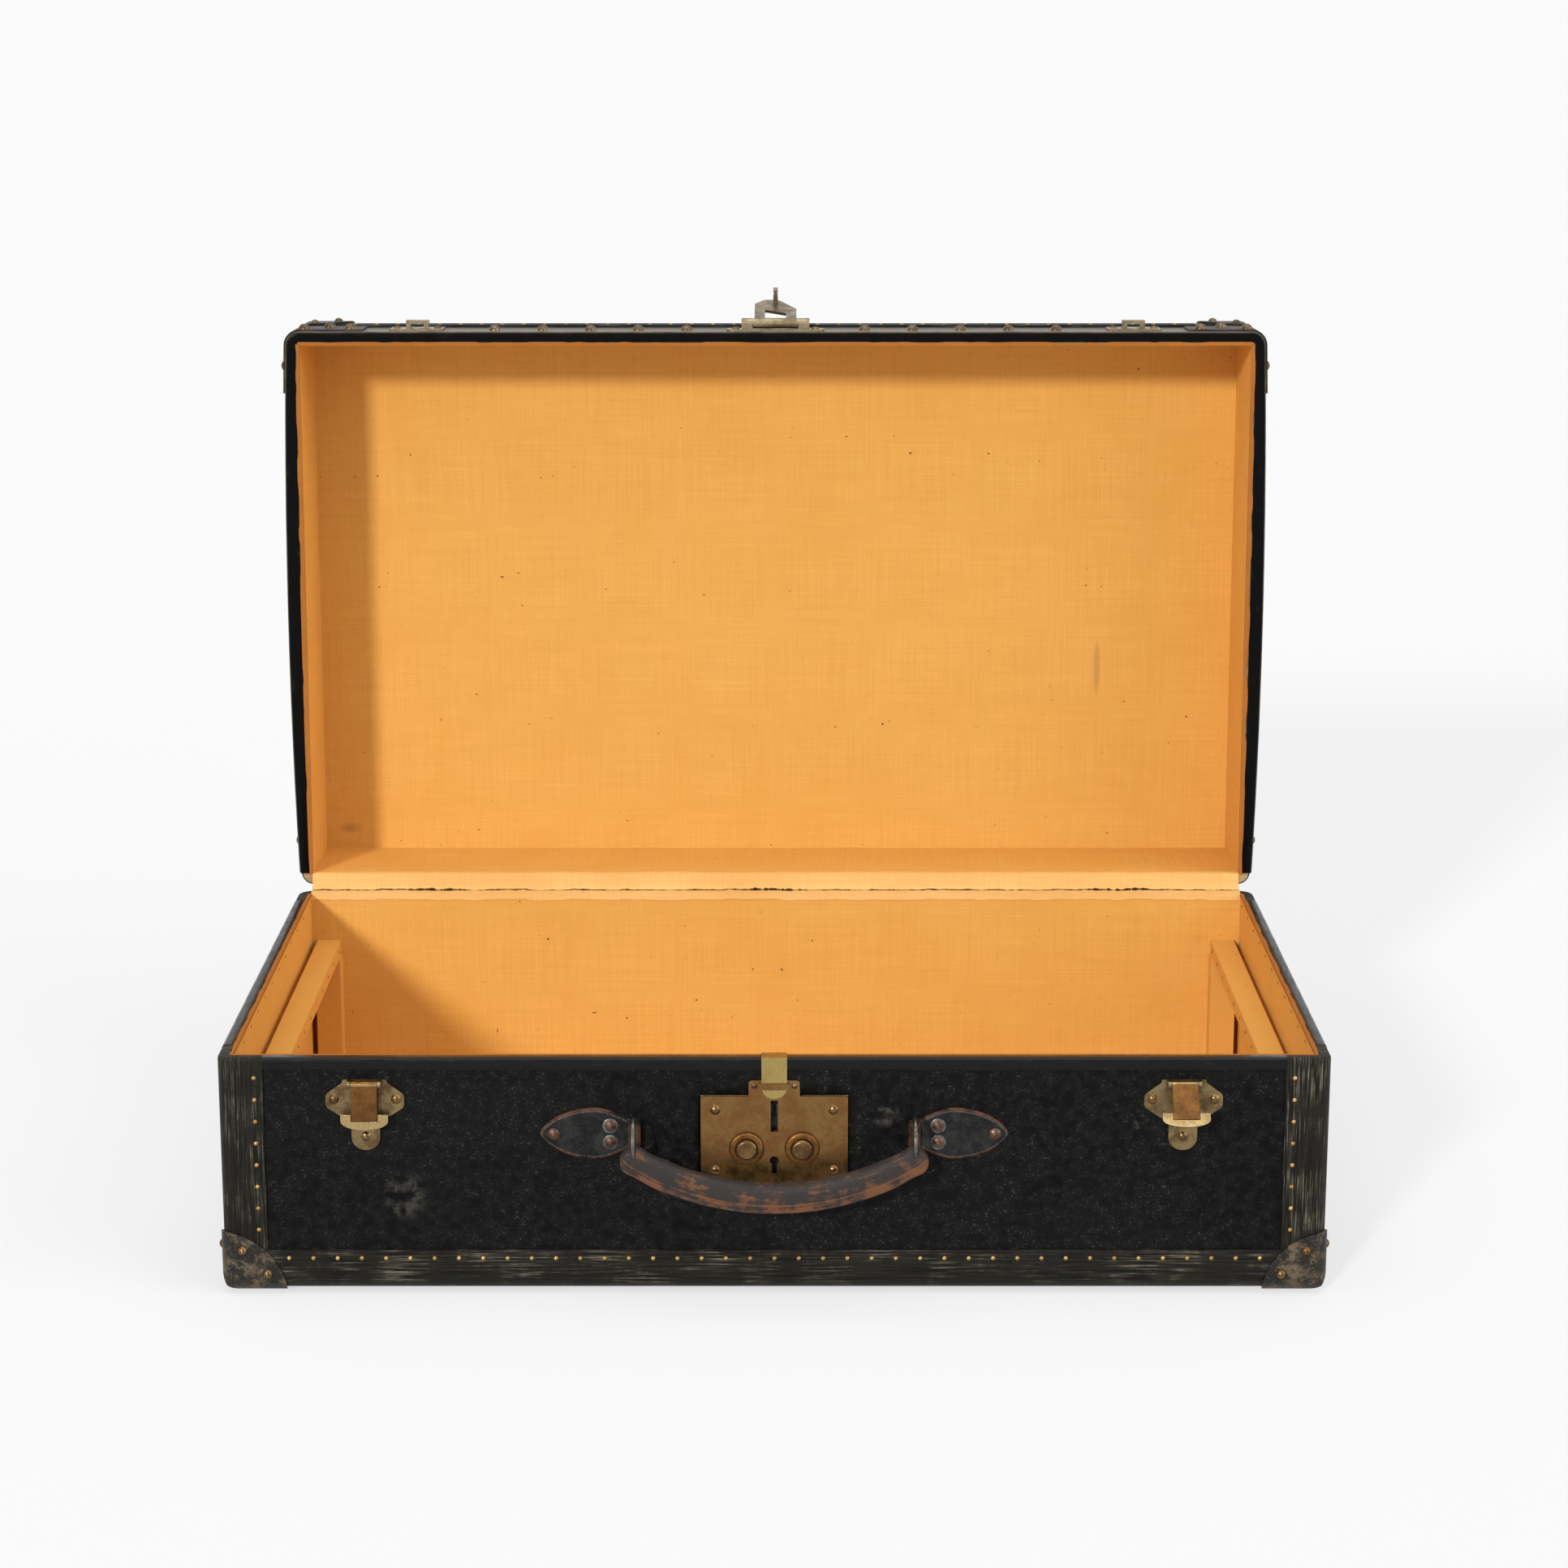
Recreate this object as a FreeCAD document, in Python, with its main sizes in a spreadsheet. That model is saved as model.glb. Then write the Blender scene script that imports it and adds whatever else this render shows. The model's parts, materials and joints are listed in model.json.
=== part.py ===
import FreeCAD, Part

import math
import os
import re

# Travel trunk with a deep hinged lid, standing open on the floor.
# Millimetres. +X is the viewer's right, the front faces -Y, +Z is up.
# The origin is on the floor under the middle of the base.

# Driving dimensions
SIZES = {
    # Overall, over the trims
    "trunk_width": 700,
    "trunk_depth": 406,
    "base_height": 157.2,
    "lid_height": 96.9,
    "lid_gap": 1.4,
    "lid_open_angle": 91.75,
    "lid_side_bow": 3.4,
    "corner_radius": 10,
    "edge_radius": 13.5,
    # Wall layers, from outside to inside
    "cap_thickness": 1.6,
    "trim_thickness": 1.5,
    "cover_thickness": 0.8,
    "board_thickness": 6.5,
    "lining_thickness": 0.6,
    "binding_thickness": 1.0,
    "tape_thickness": 0.4,
    "tape_drop": 4.5,
    "rim_roll_radius": 2.2,
    # Trims and corner caps
    "strip_width": 29,
    "ring_strip_height": 28.4,
    "rim_band_height": 7.5,
    "lid_strip_height": 26,
    "cap_reach": 42,
    "guard_width": 55,
    "guard_side_width": 44,
    "guard_height": 31,
    "guard_rim_distance": 2.5,
    "guard_side_stud": 27,
    # Trim nails
    "nail_radius": 1.5,
    "nail_rise": 0.9,
    "nail_pitch": 15.1,
    "nail_edge_distance": 5.5,
    "nail_end_distance": 13,
    # Large nails and cap rivets
    "stud_radius": 4.3,
    "stud_rise": 3.6,
    "stud_pitch": 34.4,
    "stud_rim_distance": 18,
    "stud_first_place": 64,
    "stud_latch_distance": 55.4,
    "side_stud_near": 68,
    "side_stud_far": 31,
    "cap_rivet_radius": 3.2,
    "cap_rivet_rise": 2.2,
    "cap_rivet_near": 14.5,
    "cap_rivet_far": 30,
    "guard_rivet_spread": 16.5,
    "guard_rivet_step": 7.75,
    # Tray rails and lining tacks
    "rail_rim_distance": 35.2,
    "rail_width": 17,
    "rail_thickness": 11,
    "rail_wall_gap": 4,
    "post_width": 18,
    "post_depth": 17,
    "tack_radius": 1.2,
    "tack_rise": 0.7,
    "tack_pitch": 33,
    "tack_rim_distance": 6,
    # Lock
    "lock_width": 92.6,
    "lock_height": 57.8,
    "lock_band_gap": 6.9,
    "lock_corner": 2,
    "plate_thickness": 1.5,
    "lock_tab_width": 32.2,
    "lock_tab_height": 10.4,
    "lock_rivet_x": 37.2,
    "lock_rivet_z": 19.9,
    "lock_rivet_radius": 3.2,
    "tab_rivet_x": 12.6,
    "tab_rivet_radius": 1.8,
    "tab_rivet_edge_distance": 3.6,
    "rivet_rise": 1.5,
    "rivet_shank_radius": 1.2,
    "slot_width": 4.6,
    "slot_low_rise": 5.5,
    "slot_high_rise": 26.1,
    "keyhole_drop": 13.5,
    "keyhole_radius": 2.85,
    "keyhole_slot_width": 3.2,
    "keyhole_slot_drop": 22.1,
    "button_x": 17.5,
    "button_drop": 5.5,
    "button_dome_radius": 7,
    "button_dome_rise": 2.8,
    "button_dome_edge": 2.1,
    "button_stem_radius": 4.5,
    "button_flange_radius": 5.5,
    "button_flange_thickness": 1.2,
    "button_travel": 2.5,
    "button_gap": 0.5,
    "collar_radius": 11,
    "collar_height": 2.6,
    "collar_edge": 1.8,
    "collar_gap": 0.4,
    "case_width": 80,
    "case_height": 54,
    "case_wall": 0.8,
    "case_clearance": 0.3,
    "spring_radius": 3.6,
    "spring_wire": 0.6,
    "spring_turns": 3,
    "catch_nose": 1.3,
    "catch_length": 13,
    "catch_height": 6,
    "catch_thickness": 2.2,
    "catch_depth": 4.4,
    "catch_travel": 2,
    "catch_arm_rise": 1.1,
    "catch_arm_width": 4,
    "bolt_width": 17,
    "bolt_rise": 1.5,
    "bolt_height": 4,
    "bolt_travel": 3,
    "bolt_catch_distance": 8.2,
    "pad_gap": 0.1,
    # Clip over the front rim
    "clip_width": 16,
    "clip_thickness": 0.8,
    "clip_rise": 27.5,
    "clip_inner_drop": 9,
    "clip_tongue_radius": 7.7,
    "bridge_rise": 33.5,
    "bridge_height": 4,
    "bridge_gap": 0.1,
    "bridge_foot": 1.6,
    "bridge_bar": 1.0,
    # Side latches
    "latch_side_distance": 93,
    "latch_band_gap": 6.3,
    "latch_top_width": 28,
    "latch_lobe_x": 19.5,
    "latch_lobe_drop": 12.9,
    "latch_lobe_radius": 5.2,
    "latch_foot_drop": 37.4,
    "latch_foot_radius": 9,
    "latch_top_corner": 1,
    "latch_shoulder_round": 2,
    "latch_waist_round": 4,
    "latch_rivet_radius": 3.2,
    "latch_axis_drop": 2,
    "latch_axis_out": 5.8,
    "latch_flap_width": 16.4,
    "latch_flap_length": 24.8,
    "latch_flap_thickness": 1.3,
    "latch_knuckle_radius": 2.3,
    "latch_pin_radius": 1.1,
    "latch_ear_width": 30,
    "latch_ear_height": 4.6,
    "latch_ear_drop": 24,
    "latch_tab_length": 6.5,
    "latch_tab_tilt": 35,
    "latch_lug_width": 2.2,
    "latch_right_tilt": 36,
    "side_gap": 0.25,
    "pin_gap": 0.05,
    # Handle
    "ring_x": 88,
    "ring_rim_distance": 48.2,
    "ring_out": 17,
    "ring_radius": 13,
    "ring_wire_radius": 1.5,
    "ring_gap": 0.3,
    "chape_thickness": 3.2,
    "chape_length": 63,
    "chape_wide": 17.5,
    "chape_wide_x": 31,
    "chape_neck": 13,
    "chape_neck_x": 8,
    "chape_neck_round": 3,
    "chape_fold_radius": 4.2,
    "chape_fold_height": 17,
    "chape_drop": 1,
    "chape_rivet_out_x": 50.7,
    "chape_rivet_in_x": 15,
    "chape_rivet_in_z": 5.4,
    "chape_rivet_radius": 3.8,
    "grip_sag": 25,
    "grip_width": 13,
    "grip_height": 19,
    "grip_corner": 5.5,
    "grip_rest_angle": 60,
    "grip_loop_radius": 6.8,
    "grip_loop_overlap": 3,
    "grip_loop_length": 18,
    # Hinges
    "hinge_side_distance": 100,
    "hinge_width": 45,
    "hinge_leaf_height": 26,
    "hinge_leaf_thickness": 1.5,
    "hinge_out": 1.7,
    "hinge_barrel_radius": 2.5,
    "hinge_pin_radius": 1.2,
    "hinge_lid_knuckle": 16,
    "hinge_gap": 0.3,
    "hinge_rivet_x": 14,
    "hinge_rivet_z": 17,
    "hinge_rivet_radius": 2.6,
    # Hasp and its plate on the lid
    "hasp_plate_width": 70,
    "hasp_plate_height": 15,
    "hasp_plate_rim_distance": 2.5,
    "hasp_plate_corner": 5,
    "hasp_rivet_x": 28.5,
    "hasp_axis_rim_distance": 8.5,
    "hasp_lug_span": 48.5,
    "hasp_barrel_length": 32.5,
    "hasp_barrel_radius": 3.65,
    "hasp_pin_radius": 1.5,
    "hasp_barrel_stand": 0.4,
    "hasp_width": 30,
    "hasp_length": 52,
    "hasp_short_side": 25,
    "hasp_thickness": 2,
    "hasp_set_in": 0.5,
    "hasp_window_half": 7.6,
    "hasp_window_corner": 1,
    "hasp_window_low": 5,
    "hasp_window_left": 26,
    "hasp_window_right": 17,
    "hasp_rest_swing": 168,
    "staple_width": 3.3,
    "staple_end_gap": 0.5,
    "staple_height": 9,
    "staple_reach": 10.6,
    "staple_notch_depth": 0.9,
    "staple_notch_gap": 0.3,
    # Catches on the lid for the side latches
    "lid_catch_width": 38,
    "lid_catch_height": 23,
    "lid_catch_rim_distance": 6,
    "lid_catch_rivet_x": 14.6,
    "lid_catch_block_width": 16,
    "lid_catch_block_low": 14.6,
    "lid_catch_block_height": 9,
    "lid_catch_block_rise": 5.5,
    "lid_catch_window_share": 0.6,
    # One overrun for every cut
    "cut_overrun": 2,
}

# Outline points as shares of the latch's lobe or foot radius, and of the hasp's length or half width
LATCH_SHARES = {
    "shoulder": 2.1,
    "lobe_top": 0.6,
    "lobe_round": 0.8,
    "waist_across": 1.5,
    "waist_down": 2.4,
    "foot_round": 0.95,
}
HASP_SHARES = {"side_down": 0.8, "tip_left": 0.55, "tip_right": 0.12}

doc = FreeCAD.newDocument("travel_trunk")
sheet = doc.addObject("Spreadsheet::Sheet", "dims")
for row, (alias, amount) in enumerate(SIZES.items(), start=1):
    sheet.set(f"A{row}", alias)
    sheet.set(f"B{row}", str(amount))
    sheet.setAlias(f"B{row}", alias)
doc.recompute()

PIECES = []

# Places that many pieces share, as text for the sheet
HALF_X = "(trunk_width / 2)"
HALF_Y = "(trunk_depth / 2)"
COVER_OUT = "(trim_thickness)"
BOARD_OUT = "(trim_thickness + cover_thickness)"
BOARD_IN = "(trim_thickness + cover_thickness + board_thickness)"
LINING_IN = "(trim_thickness + cover_thickness + board_thickness + lining_thickness)"
FACE_Y = "(trim_thickness - trunk_depth / 2)"
BACK_Y = "(trunk_depth / 2 - trim_thickness)"
BASE_DEPTH = "(base_height - cap_thickness)"
LID_RIM = "(base_height + lid_gap)"
HINGE_Y = "(trunk_depth / 2 + hinge_out)"
HINGE_Z = "(base_height + lid_gap / 2)"
RING_Y = "(trim_thickness - trunk_depth / 2 - ring_out)"
CASE_DEPTH = "(cover_thickness + board_thickness)"
LOCK_Z = "(base_height - rim_band_height - lock_band_gap - lock_tab_height - lock_height / 2)"
BUTTON_Z = f"({LOCK_Z} - button_drop)"
BOLT_LOW = f"({LOCK_Z} + bolt_rise)"
CATCH_LOW = f"({BOLT_LOW} + bolt_height + bolt_travel + bolt_catch_distance)"
BRIDGE_LOW = f"({LOCK_Z} + bridge_rise)"
STAPLE_TOP = f"({LID_RIM} + hasp_axis_rim_distance - {LOCK_Z} - slot_high_rise + staple_end_gap)"
STAPLE_BOTTOM = f"({STAPLE_TOP} + staple_height)"
LATCH_X = f"({HALF_X} - latch_side_distance)"
LATCH_TOP = "(base_height - rim_band_height - latch_band_gap)"
LATCH_AXIS_Z = f"({LATCH_TOP} - latch_axis_drop)"
LATCH_LOBE_Z = f"({LATCH_TOP} - latch_lobe_drop)"
LATCH_FOOT_Z = f"({LATCH_TOP} - latch_foot_drop)"
RING_Z = "(base_height - ring_rim_distance)"
CHAPE_Z = f"({RING_Z} - chape_drop)"
RAIL_TOP = "(base_height - rail_rim_distance)"
HINGE_X = f"({HALF_X} - hinge_side_distance)"
HASP_OUT = "(trim_thickness + plate_thickness + hasp_barrel_stand + hasp_barrel_radius)"


def bound(text):
    """The same text with every size name written out as a cell of the sheet."""
    return re.sub(r"\b([a-z]+_\w+)\b", r"dims.\1", str(text))


def number(text):
    """The value of such a text."""
    return float(sheet.evalExpression(bound(text)))


# Small helpers that make one object each


def bind(obj, **texts):
    for prop, text in texts.items():
        obj.setExpression(prop.replace("__", "."), bound(text))
    return obj


def move(obj, x="0", y="0", z="0"):
    """Put an object at a point given as text."""
    return bind(obj, Placement__Base__x=x, Placement__Base__y=y, Placement__Base__z=z)


def box(name, x0, x1, y0, y1, z0, z1):
    """A block between three pairs of planes."""
    obj = doc.addObject("Part::Box", name)
    bind(obj, Length=f"({x1}) - ({x0})", Width=f"({y1}) - ({y0})", Height=f"({z1}) - ({z0})")
    return move(obj, x0, y0, z0)


def rod(name, radius, length, axis, x, y, z):
    """A cylinder from a point along X, Y or Z."""
    obj = doc.addObject("Part::Cylinder", name)
    bind(obj, Radius=radius, Height=length)
    turns = {
        "X": FreeCAD.Rotation(FreeCAD.Vector(0, 1, 0), 90),
        "Y": FreeCAD.Rotation(FreeCAD.Vector(1, 0, 0), -90),
        "Z": FreeCAD.Rotation(),
    }
    obj.Placement = FreeCAD.Placement(FreeCAD.Vector(), turns[axis])
    return move(obj, x, y, z)


def fuse(name, parts):
    obj = doc.addObject("Part::MultiFuse", name)
    obj.Shapes = parts
    return obj


def cut(name, base, tools):
    tool = tools[0] if len(tools) == 1 else fuse(name + "_tools", tools)
    obj = doc.addObject("Part::Cut", name)
    obj.Base = base
    obj.Tool = tool
    return obj


def common(name, base, tool):
    obj = doc.addObject("Part::Common", name)
    obj.Base = base
    obj.Tool = tool
    return obj


def group(name, parts):
    """Separate solids that share one node."""
    obj = doc.addObject("Part::Compound", name)
    obj.Links = parts
    return obj


def feature(name, shape):
    obj = doc.addObject("Part::Feature", name)
    obj.Shape = shape
    return obj


def turned(obj, x, y, z, angle):
    """Turn an object about X by an angle and put it at a point."""
    obj.Placement = FreeCAD.Placement(FreeCAD.Vector(), FreeCAD.Rotation(FreeCAD.Vector(1, 0, 0), 1))
    bind(obj, Placement__Rotation__Angle=angle)
    return move(obj, x, y, z)


def on_open_lid(obj, x="0", y="0", z="0", swing="0"):
    """Place a lid piece, drawn with the lid shut, where it is with the lid open."""
    back = f"(({y}) - {HINGE_Y})"
    above = f"(({z}) - {HINGE_Z})"
    open_y = f"{HINGE_Y} + {back} * cos(lid_open_angle) + {above} * sin(lid_open_angle)"
    open_z = f"{HINGE_Z} - {back} * sin(lid_open_angle) + {above} * cos(lid_open_angle)"
    return turned(obj, x, open_y, open_z, f"-lid_open_angle - ({swing})")


def keep(node, obj):
    """Name a finished sub-part."""
    obj.Label = node
    PIECES.append(obj)
    return obj


# Outlines with rounded corners


def curves(points, put):
    """Lines and arcs round an outline of (across, up, corner radius, bow of the next side)."""
    count = len(points)
    flat = [FreeCAD.Vector(p[0], p[1], 0) for p in points]
    starts, ends, arcs = [], [], []
    for i, point in enumerate(points):
        to_last = (flat[i - 1] - flat[i]).normalize()
        to_next = (flat[(i + 1) % count] - flat[i]).normalize()
        radius = point[2]
        half_angle = to_last.getAngle(to_next) / 2
        reach = radius / math.tan(half_angle)
        ends.append(flat[i] + to_last * reach)
        starts.append(flat[i] + to_next * reach)
        if radius > 0:
            inward = (to_last + to_next).normalize()
            middle = flat[i] + inward * (radius / math.sin(half_angle) - radius)
            arcs.append(middle)
        else:
            arcs.append(None)
    result = []
    for i, point in enumerate(points):
        if arcs[i] is not None:
            result.append(Part.Arc(*(put(v.x, v.y) for v in (ends[i], arcs[i], starts[i]))))
        first, last = starts[i], ends[(i + 1) % count]
        if (last - first).Length < 1e-6:
            continue
        bow = point[3] if len(point) > 3 else 0
        if bow:
            along = (last - first).normalize()
            middle = (first + last) / 2 + FreeCAD.Vector(along.y, -along.x, 0) * bow
            result.append(Part.Arc(*(put(v.x, v.y) for v in (first, middle, last))))
        else:
            result.append(Part.LineSegment(put(first.x, first.y), put(last.x, last.y)))
    return result


def prism(points, plane, low, high):
    """The outline drawn on a plane and stretched along the third axis."""
    put = {
        "XY": lambda a, b, c: FreeCAD.Vector(a, b, c),
        "XZ": lambda a, b, c: FreeCAD.Vector(a, c, b),
        "YZ": lambda a, b, c: FreeCAD.Vector(c, a, b),
    }[plane]
    edges = [curve.toShape() for curve in curves(points, lambda a, b: put(a, b, low))]
    return Part.Face(Part.Wire(edges)).extrude(put(0, 0, high) - put(0, 0, low))


def body_on(name, plane, points, thickness, circles=(), offset="0", holes=()):
    """A padded outline, pierced by round holes (across, up, radius) and by inner outlines."""
    body = doc.addObject("PartDesign::Body", name)
    sketch = body.newObject("Sketcher::SketchObject", name + "_outline")
    plane_object = [o for o in body.Origin.OriginFeatures if o.Role == plane][0]
    sketch.AttachmentSupport = [(plane_object, "")]
    sketch.MapMode = "FlatFace"
    bind(sketch, AttachmentOffset__Base__z=offset)
    put = lambda a, b: FreeCAD.Vector(a, b, 0)
    sketch.addGeometry(curves(points, put), False)
    for outline in holes:
        sketch.addGeometry(curves(outline, put), False)
    for across, up, radius in circles:
        sketch.addGeometry(Part.Circle(put(across, up), FreeCAD.Vector(0, 0, 1), radius), False)
    pad = body.newObject("PartDesign::Pad", name + "_pad")
    pad.Profile = sketch
    bind(pad, Length=thickness)
    return body


def revolved_body(name, points, plane="XZ_Plane", axis="Z_Axis", angle="360"):
    """An outline turned about an axis of the body."""
    body = doc.addObject("PartDesign::Body", name)
    sketch = body.newObject("Sketcher::SketchObject", name + "_outline")
    roles = {o.Role: o for o in body.Origin.OriginFeatures}
    sketch.AttachmentSupport = [(roles[plane], "")]
    sketch.MapMode = "FlatFace"
    sketch.addGeometry(curves(points, lambda a, b: FreeCAD.Vector(a, b, 0)), False)
    turn = body.newObject("PartDesign::Revolution", name + "_turn")
    turn.Profile = sketch
    turn.ReferenceAxis = (roles[axis], [""])
    bind(turn, Angle=angle)
    turn.Midplane = True
    return body


# Domed heads of nails and rivets


def head(point, normal, radius, rise, shank=None):
    """A domed head seated at a point, with a shank behind it if it has one."""
    ball = (radius ** 2 + rise ** 2) / (2 * rise)
    latitude = math.degrees(math.asin((ball - rise) / ball))
    dome = Part.makeSphere(ball, point + normal * (rise - ball), normal, latitude, 90, 360)
    if shank is None:
        return dome
    shank_radius, shank_length = shank
    return dome.fuse(Part.makeCylinder(shank_radius, shank_length, point, normal * -1))


def spread(low, high, pitch):
    """Even places from one end to the other, about a pitch apart."""
    steps = max(1, round((high - low) / pitch))
    return [low + (high - low) * i / steps for i in range(steps + 1)]


def sided(sign, near, far):
    """A span on the right, or its mirror image on the left, from low to high."""
    return (f"-({far})", f"-({near})") if sign else (near, far)


# The two halves of the trunk


class Half:
    """The base or the lid, drawn shut: depths are measured from its rim outwards."""

    def __init__(self, name, rim, sign, depth, bow):
        self.name = name
        self.rim = rim
        self.sign = sign
        self.depth = depth
        self.bow = bow

    def z(self, depth):
        return f"({self.rim} {self.sign} ({depth}))"

    def block(self, name, x0, x1, y0, y1, near, far):
        """A block between two depths."""
        low, high = sorted((self.z(near), self.z(far)), key=number)
        return box(f"{self.name}_{name}", x0, x1, y0, y1, low, high)

    def inner_block(self, name, inset, near, far):
        """A block inside the walls."""
        x = f"({HALF_X} - {inset})"
        y = f"({HALF_Y} - {inset})"
        return self.block(name, f"-{x}", x, f"-{y}", y, near, far)

    def envelope(self, name, inset, near, roll="0"):
        """A closed block with rounded upright corners, rolled long edges and bowed sides."""
        x = number(f"{HALF_X} - ({inset})")
        y = number(f"{HALF_Y} - ({inset})")
        corner = number(f"corner_radius - ({inset})")
        edge = number(f"edge_radius - ({inset})")
        rim_edge = number(roll)
        bow = number(self.bow)
        rim, far = number(self.z(near)), number(self.z(f"{self.depth} - ({inset})"))
        low, high = min(rim, far), max(rim, far)
        low_edge, high_edge = (edge, rim_edge) if far < rim else (rim_edge, edge)
        plan = [(-x, -y, corner, 0), (x, -y, corner, bow), (x, y, corner, 0), (-x, y, corner, bow)]
        front = [(-x - bow, low, low_edge), (x + bow, low, low_edge)]
        front += [(x + bow, high, high_edge), (-x - bow, high, high_edge)]
        side = [(-y, low, low_edge), (y, low, low_edge), (y, high, high_edge), (-y, high, high_edge)]
        shape = prism(plan, "XY", low, high)
        shape = shape.common(prism(front, "XZ", -y, y))
        shape = shape.common(prism(side, "YZ", -x - bow, x + bow))
        return feature(f"{self.name}_{name}", shape)


BASE = Half("base", "base_height", "-", BASE_DEPTH, "0")
LID = Half("lid", LID_RIM, "+", "lid_height", "lid_side_bow")


def finish(half, node, obj):
    """Keep a piece of a half, opened with the lid if it is the lid's."""
    if half is LID:
        on_open_lid(obj)
    return keep(node, obj)


def lock_opening(name):
    """The cut-out that the lock's case fills in the front wall."""
    half_x = "(case_width / 2 + case_clearance)"
    half_z = "(case_height / 2 + case_clearance)"
    inside = f"(-{HALF_Y} + {BOARD_IN})"
    return box(name, f"-{half_x}", half_x, f"-{HALF_Y}", inside,
               f"({LOCK_Z} - {half_z})", f"({LOCK_Z} + {half_z})")


def make_boards(half):
    """Five boards: front and back run through, the sides stand between them, one panel closes."""
    outer = half.envelope("board_form", BOARD_OUT, "binding_thickness")
    x, y = f"({HALF_X} - {BOARD_OUT} + {half.bow})", f"({HALF_Y} - {BOARD_OUT})"
    in_x, in_y = f"({HALF_X} - {BOARD_IN})", f"({HALF_Y} - {BOARD_IN})"
    near = "binding_thickness"
    seat = f"({half.depth} - {BOARD_IN})"
    far = f"({half.depth} - {BOARD_OUT})"
    panel = "bottom" if half is BASE else "top"
    places = {
        "front": (f"-{x}", x, f"-{y}", f"-{in_y}", near, seat),
        "back": (f"-{x}", x, in_y, y, near, seat),
        "left": (f"-{x}", f"-{in_x}", f"-{in_y}", in_y, near, seat),
        "right": (in_x, x, f"-{in_y}", in_y, near, seat),
        panel: (f"-{x}", x, f"-{y}", y, seat, far),
    }
    for side, place in places.items():
        blank = half.block(f"{side}_blank", *place)
        board = common(f"{half.name}_{side}_rounded", blank, outer)
        if half is BASE and side == "front":
            board = cut("base_front_pierced", board, [lock_opening("front_board_opening")])
        finish(half, f"{half.name}_{side}_board", board)
    return outer


def make_covering(half, board_form):
    """The cloth skin glued over the boards."""
    skin = half.envelope("cover_form", COVER_OUT, "binding_thickness")
    tools = [board_form]
    if half is BASE:
        tools.append(lock_opening("covering_opening"))
    finish(half, f"{half.name}_covering", cut(f"{half.name}_skin", skin, tools))
    return skin


def make_lining(half):
    """The canvas that covers the inside."""
    outer = half.inner_block("lining_outer", BOARD_IN, "binding_thickness", f"{half.depth} - {BOARD_IN}")
    inner = half.inner_block("lining_inner", LINING_IN, "binding_thickness", f"{half.depth} - {LINING_IN}")
    finish(half, f"{half.name}_lining", cut(f"{half.name}_lining_shell", outer, [inner]))


def trim_layer(half, cover_form):
    """Everything between the covering and the trims' outside, and over the rim."""
    outer = half.envelope("trim_form", "0", "0", "rim_roll_radius")
    hollow = half.inner_block("rim_hollow", LINING_IN, "0 - cut_overrun", "binding_thickness + cut_overrun")
    return cut(f"{half.name}_trim_layer", outer, [cover_form, hollow])


def corner_blocks(half, name, near, far):
    """Four blocks that mark what the corner strips cover."""
    out_x = f"({HALF_X} + {half.bow} + cut_overrun)"
    out_y = f"({HALF_Y} + cut_overrun)"
    in_x, in_y = f"({HALF_X} - strip_width)", f"({HALF_Y} - strip_width)"
    blocks = []
    for side, (x0, x1) in {"left": (f"-{out_x}", f"-{in_x}"), "right": (in_x, out_x)}.items():
        for end, (y0, y1) in {"front": (f"-{out_y}", f"-{in_y}"), "back": (in_y, out_y)}.items():
            blocks.append(half.block(f"{name}_{side}_{end}", x0, x1, y0, y1, near, far))
    return fuse(f"{half.name}_{name}", blocks)


def back_rim_block(half, name):
    """The part of the back rim that the hinge tape covers."""
    x = f"({HALF_X} - {LINING_IN})"
    return half.block(name, f"-{x}", x, f"({HALF_Y} - strip_width - cut_overrun)",
                      f"({HALF_Y} + cut_overrun)", "0 - cut_overrun", "rim_band_height + cut_overrun")


def make_trims(half, layer):
    """The strips on the corners and long edges and the rolled binding of the rim."""
    out_x = f"({HALF_X} + {half.bow} + cut_overrun)"
    out_y = f"({HALF_Y} + cut_overrun)"
    ring_top = f"({half.depth} - ring_strip_height)"
    beyond = f"({half.depth} + cut_overrun)"
    band = half.block("band", f"-{out_x}", out_x, f"-{out_y}", out_y, "0 - cut_overrun", "rim_band_height")
    corners = corner_blocks(half, "corner_marks", "0 - cut_overrun", ring_top)
    back_gap = back_rim_block(half, "back_rim")
    binding = common(f"{half.name}_rim_band", layer, band)
    binding = cut(f"{half.name}_binding_cut", binding, [corners, back_gap])
    finish(half, f"{half.name}_rim_binding", binding)

    ring_block = half.block("ring_block", f"-{out_x}", out_x, f"-{out_y}", out_y, ring_top, beyond)
    middle = half.block("ring_middle", f"-({HALF_X} - strip_width)", f"({HALF_X} - strip_width)",
                        f"-({HALF_Y} - strip_width)", f"({HALF_Y} - strip_width)",
                        f"{ring_top} - cut_overrun", f"{beyond} + cut_overrun")
    ring = cut(f"{half.name}_edge_ring", common(f"{half.name}_ring", layer, ring_block), [middle])
    strips = common(f"{half.name}_corner_strips", layer, corners)
    strips = cut(f"{half.name}_corner_strips_cut", strips, [back_gap])
    if half is BASE:
        finish(half, "base_bottom_trim", ring)
        finish(half, "base_corner_trims", strips)
    else:
        front = half.block("front_strip_block", f"-({HALF_X} - strip_width)", f"({HALF_X} - strip_width)",
                           f"-{out_y}", f"-({HALF_Y} - strip_width)",
                           "rim_band_height", "rim_band_height + lid_strip_height")
        front_strip = common("lid_front_strip", layer, front)
        finish(half, "lid_edge_trims", group("lid_edge_trims_group", [ring, strips, front_strip]))


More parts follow.
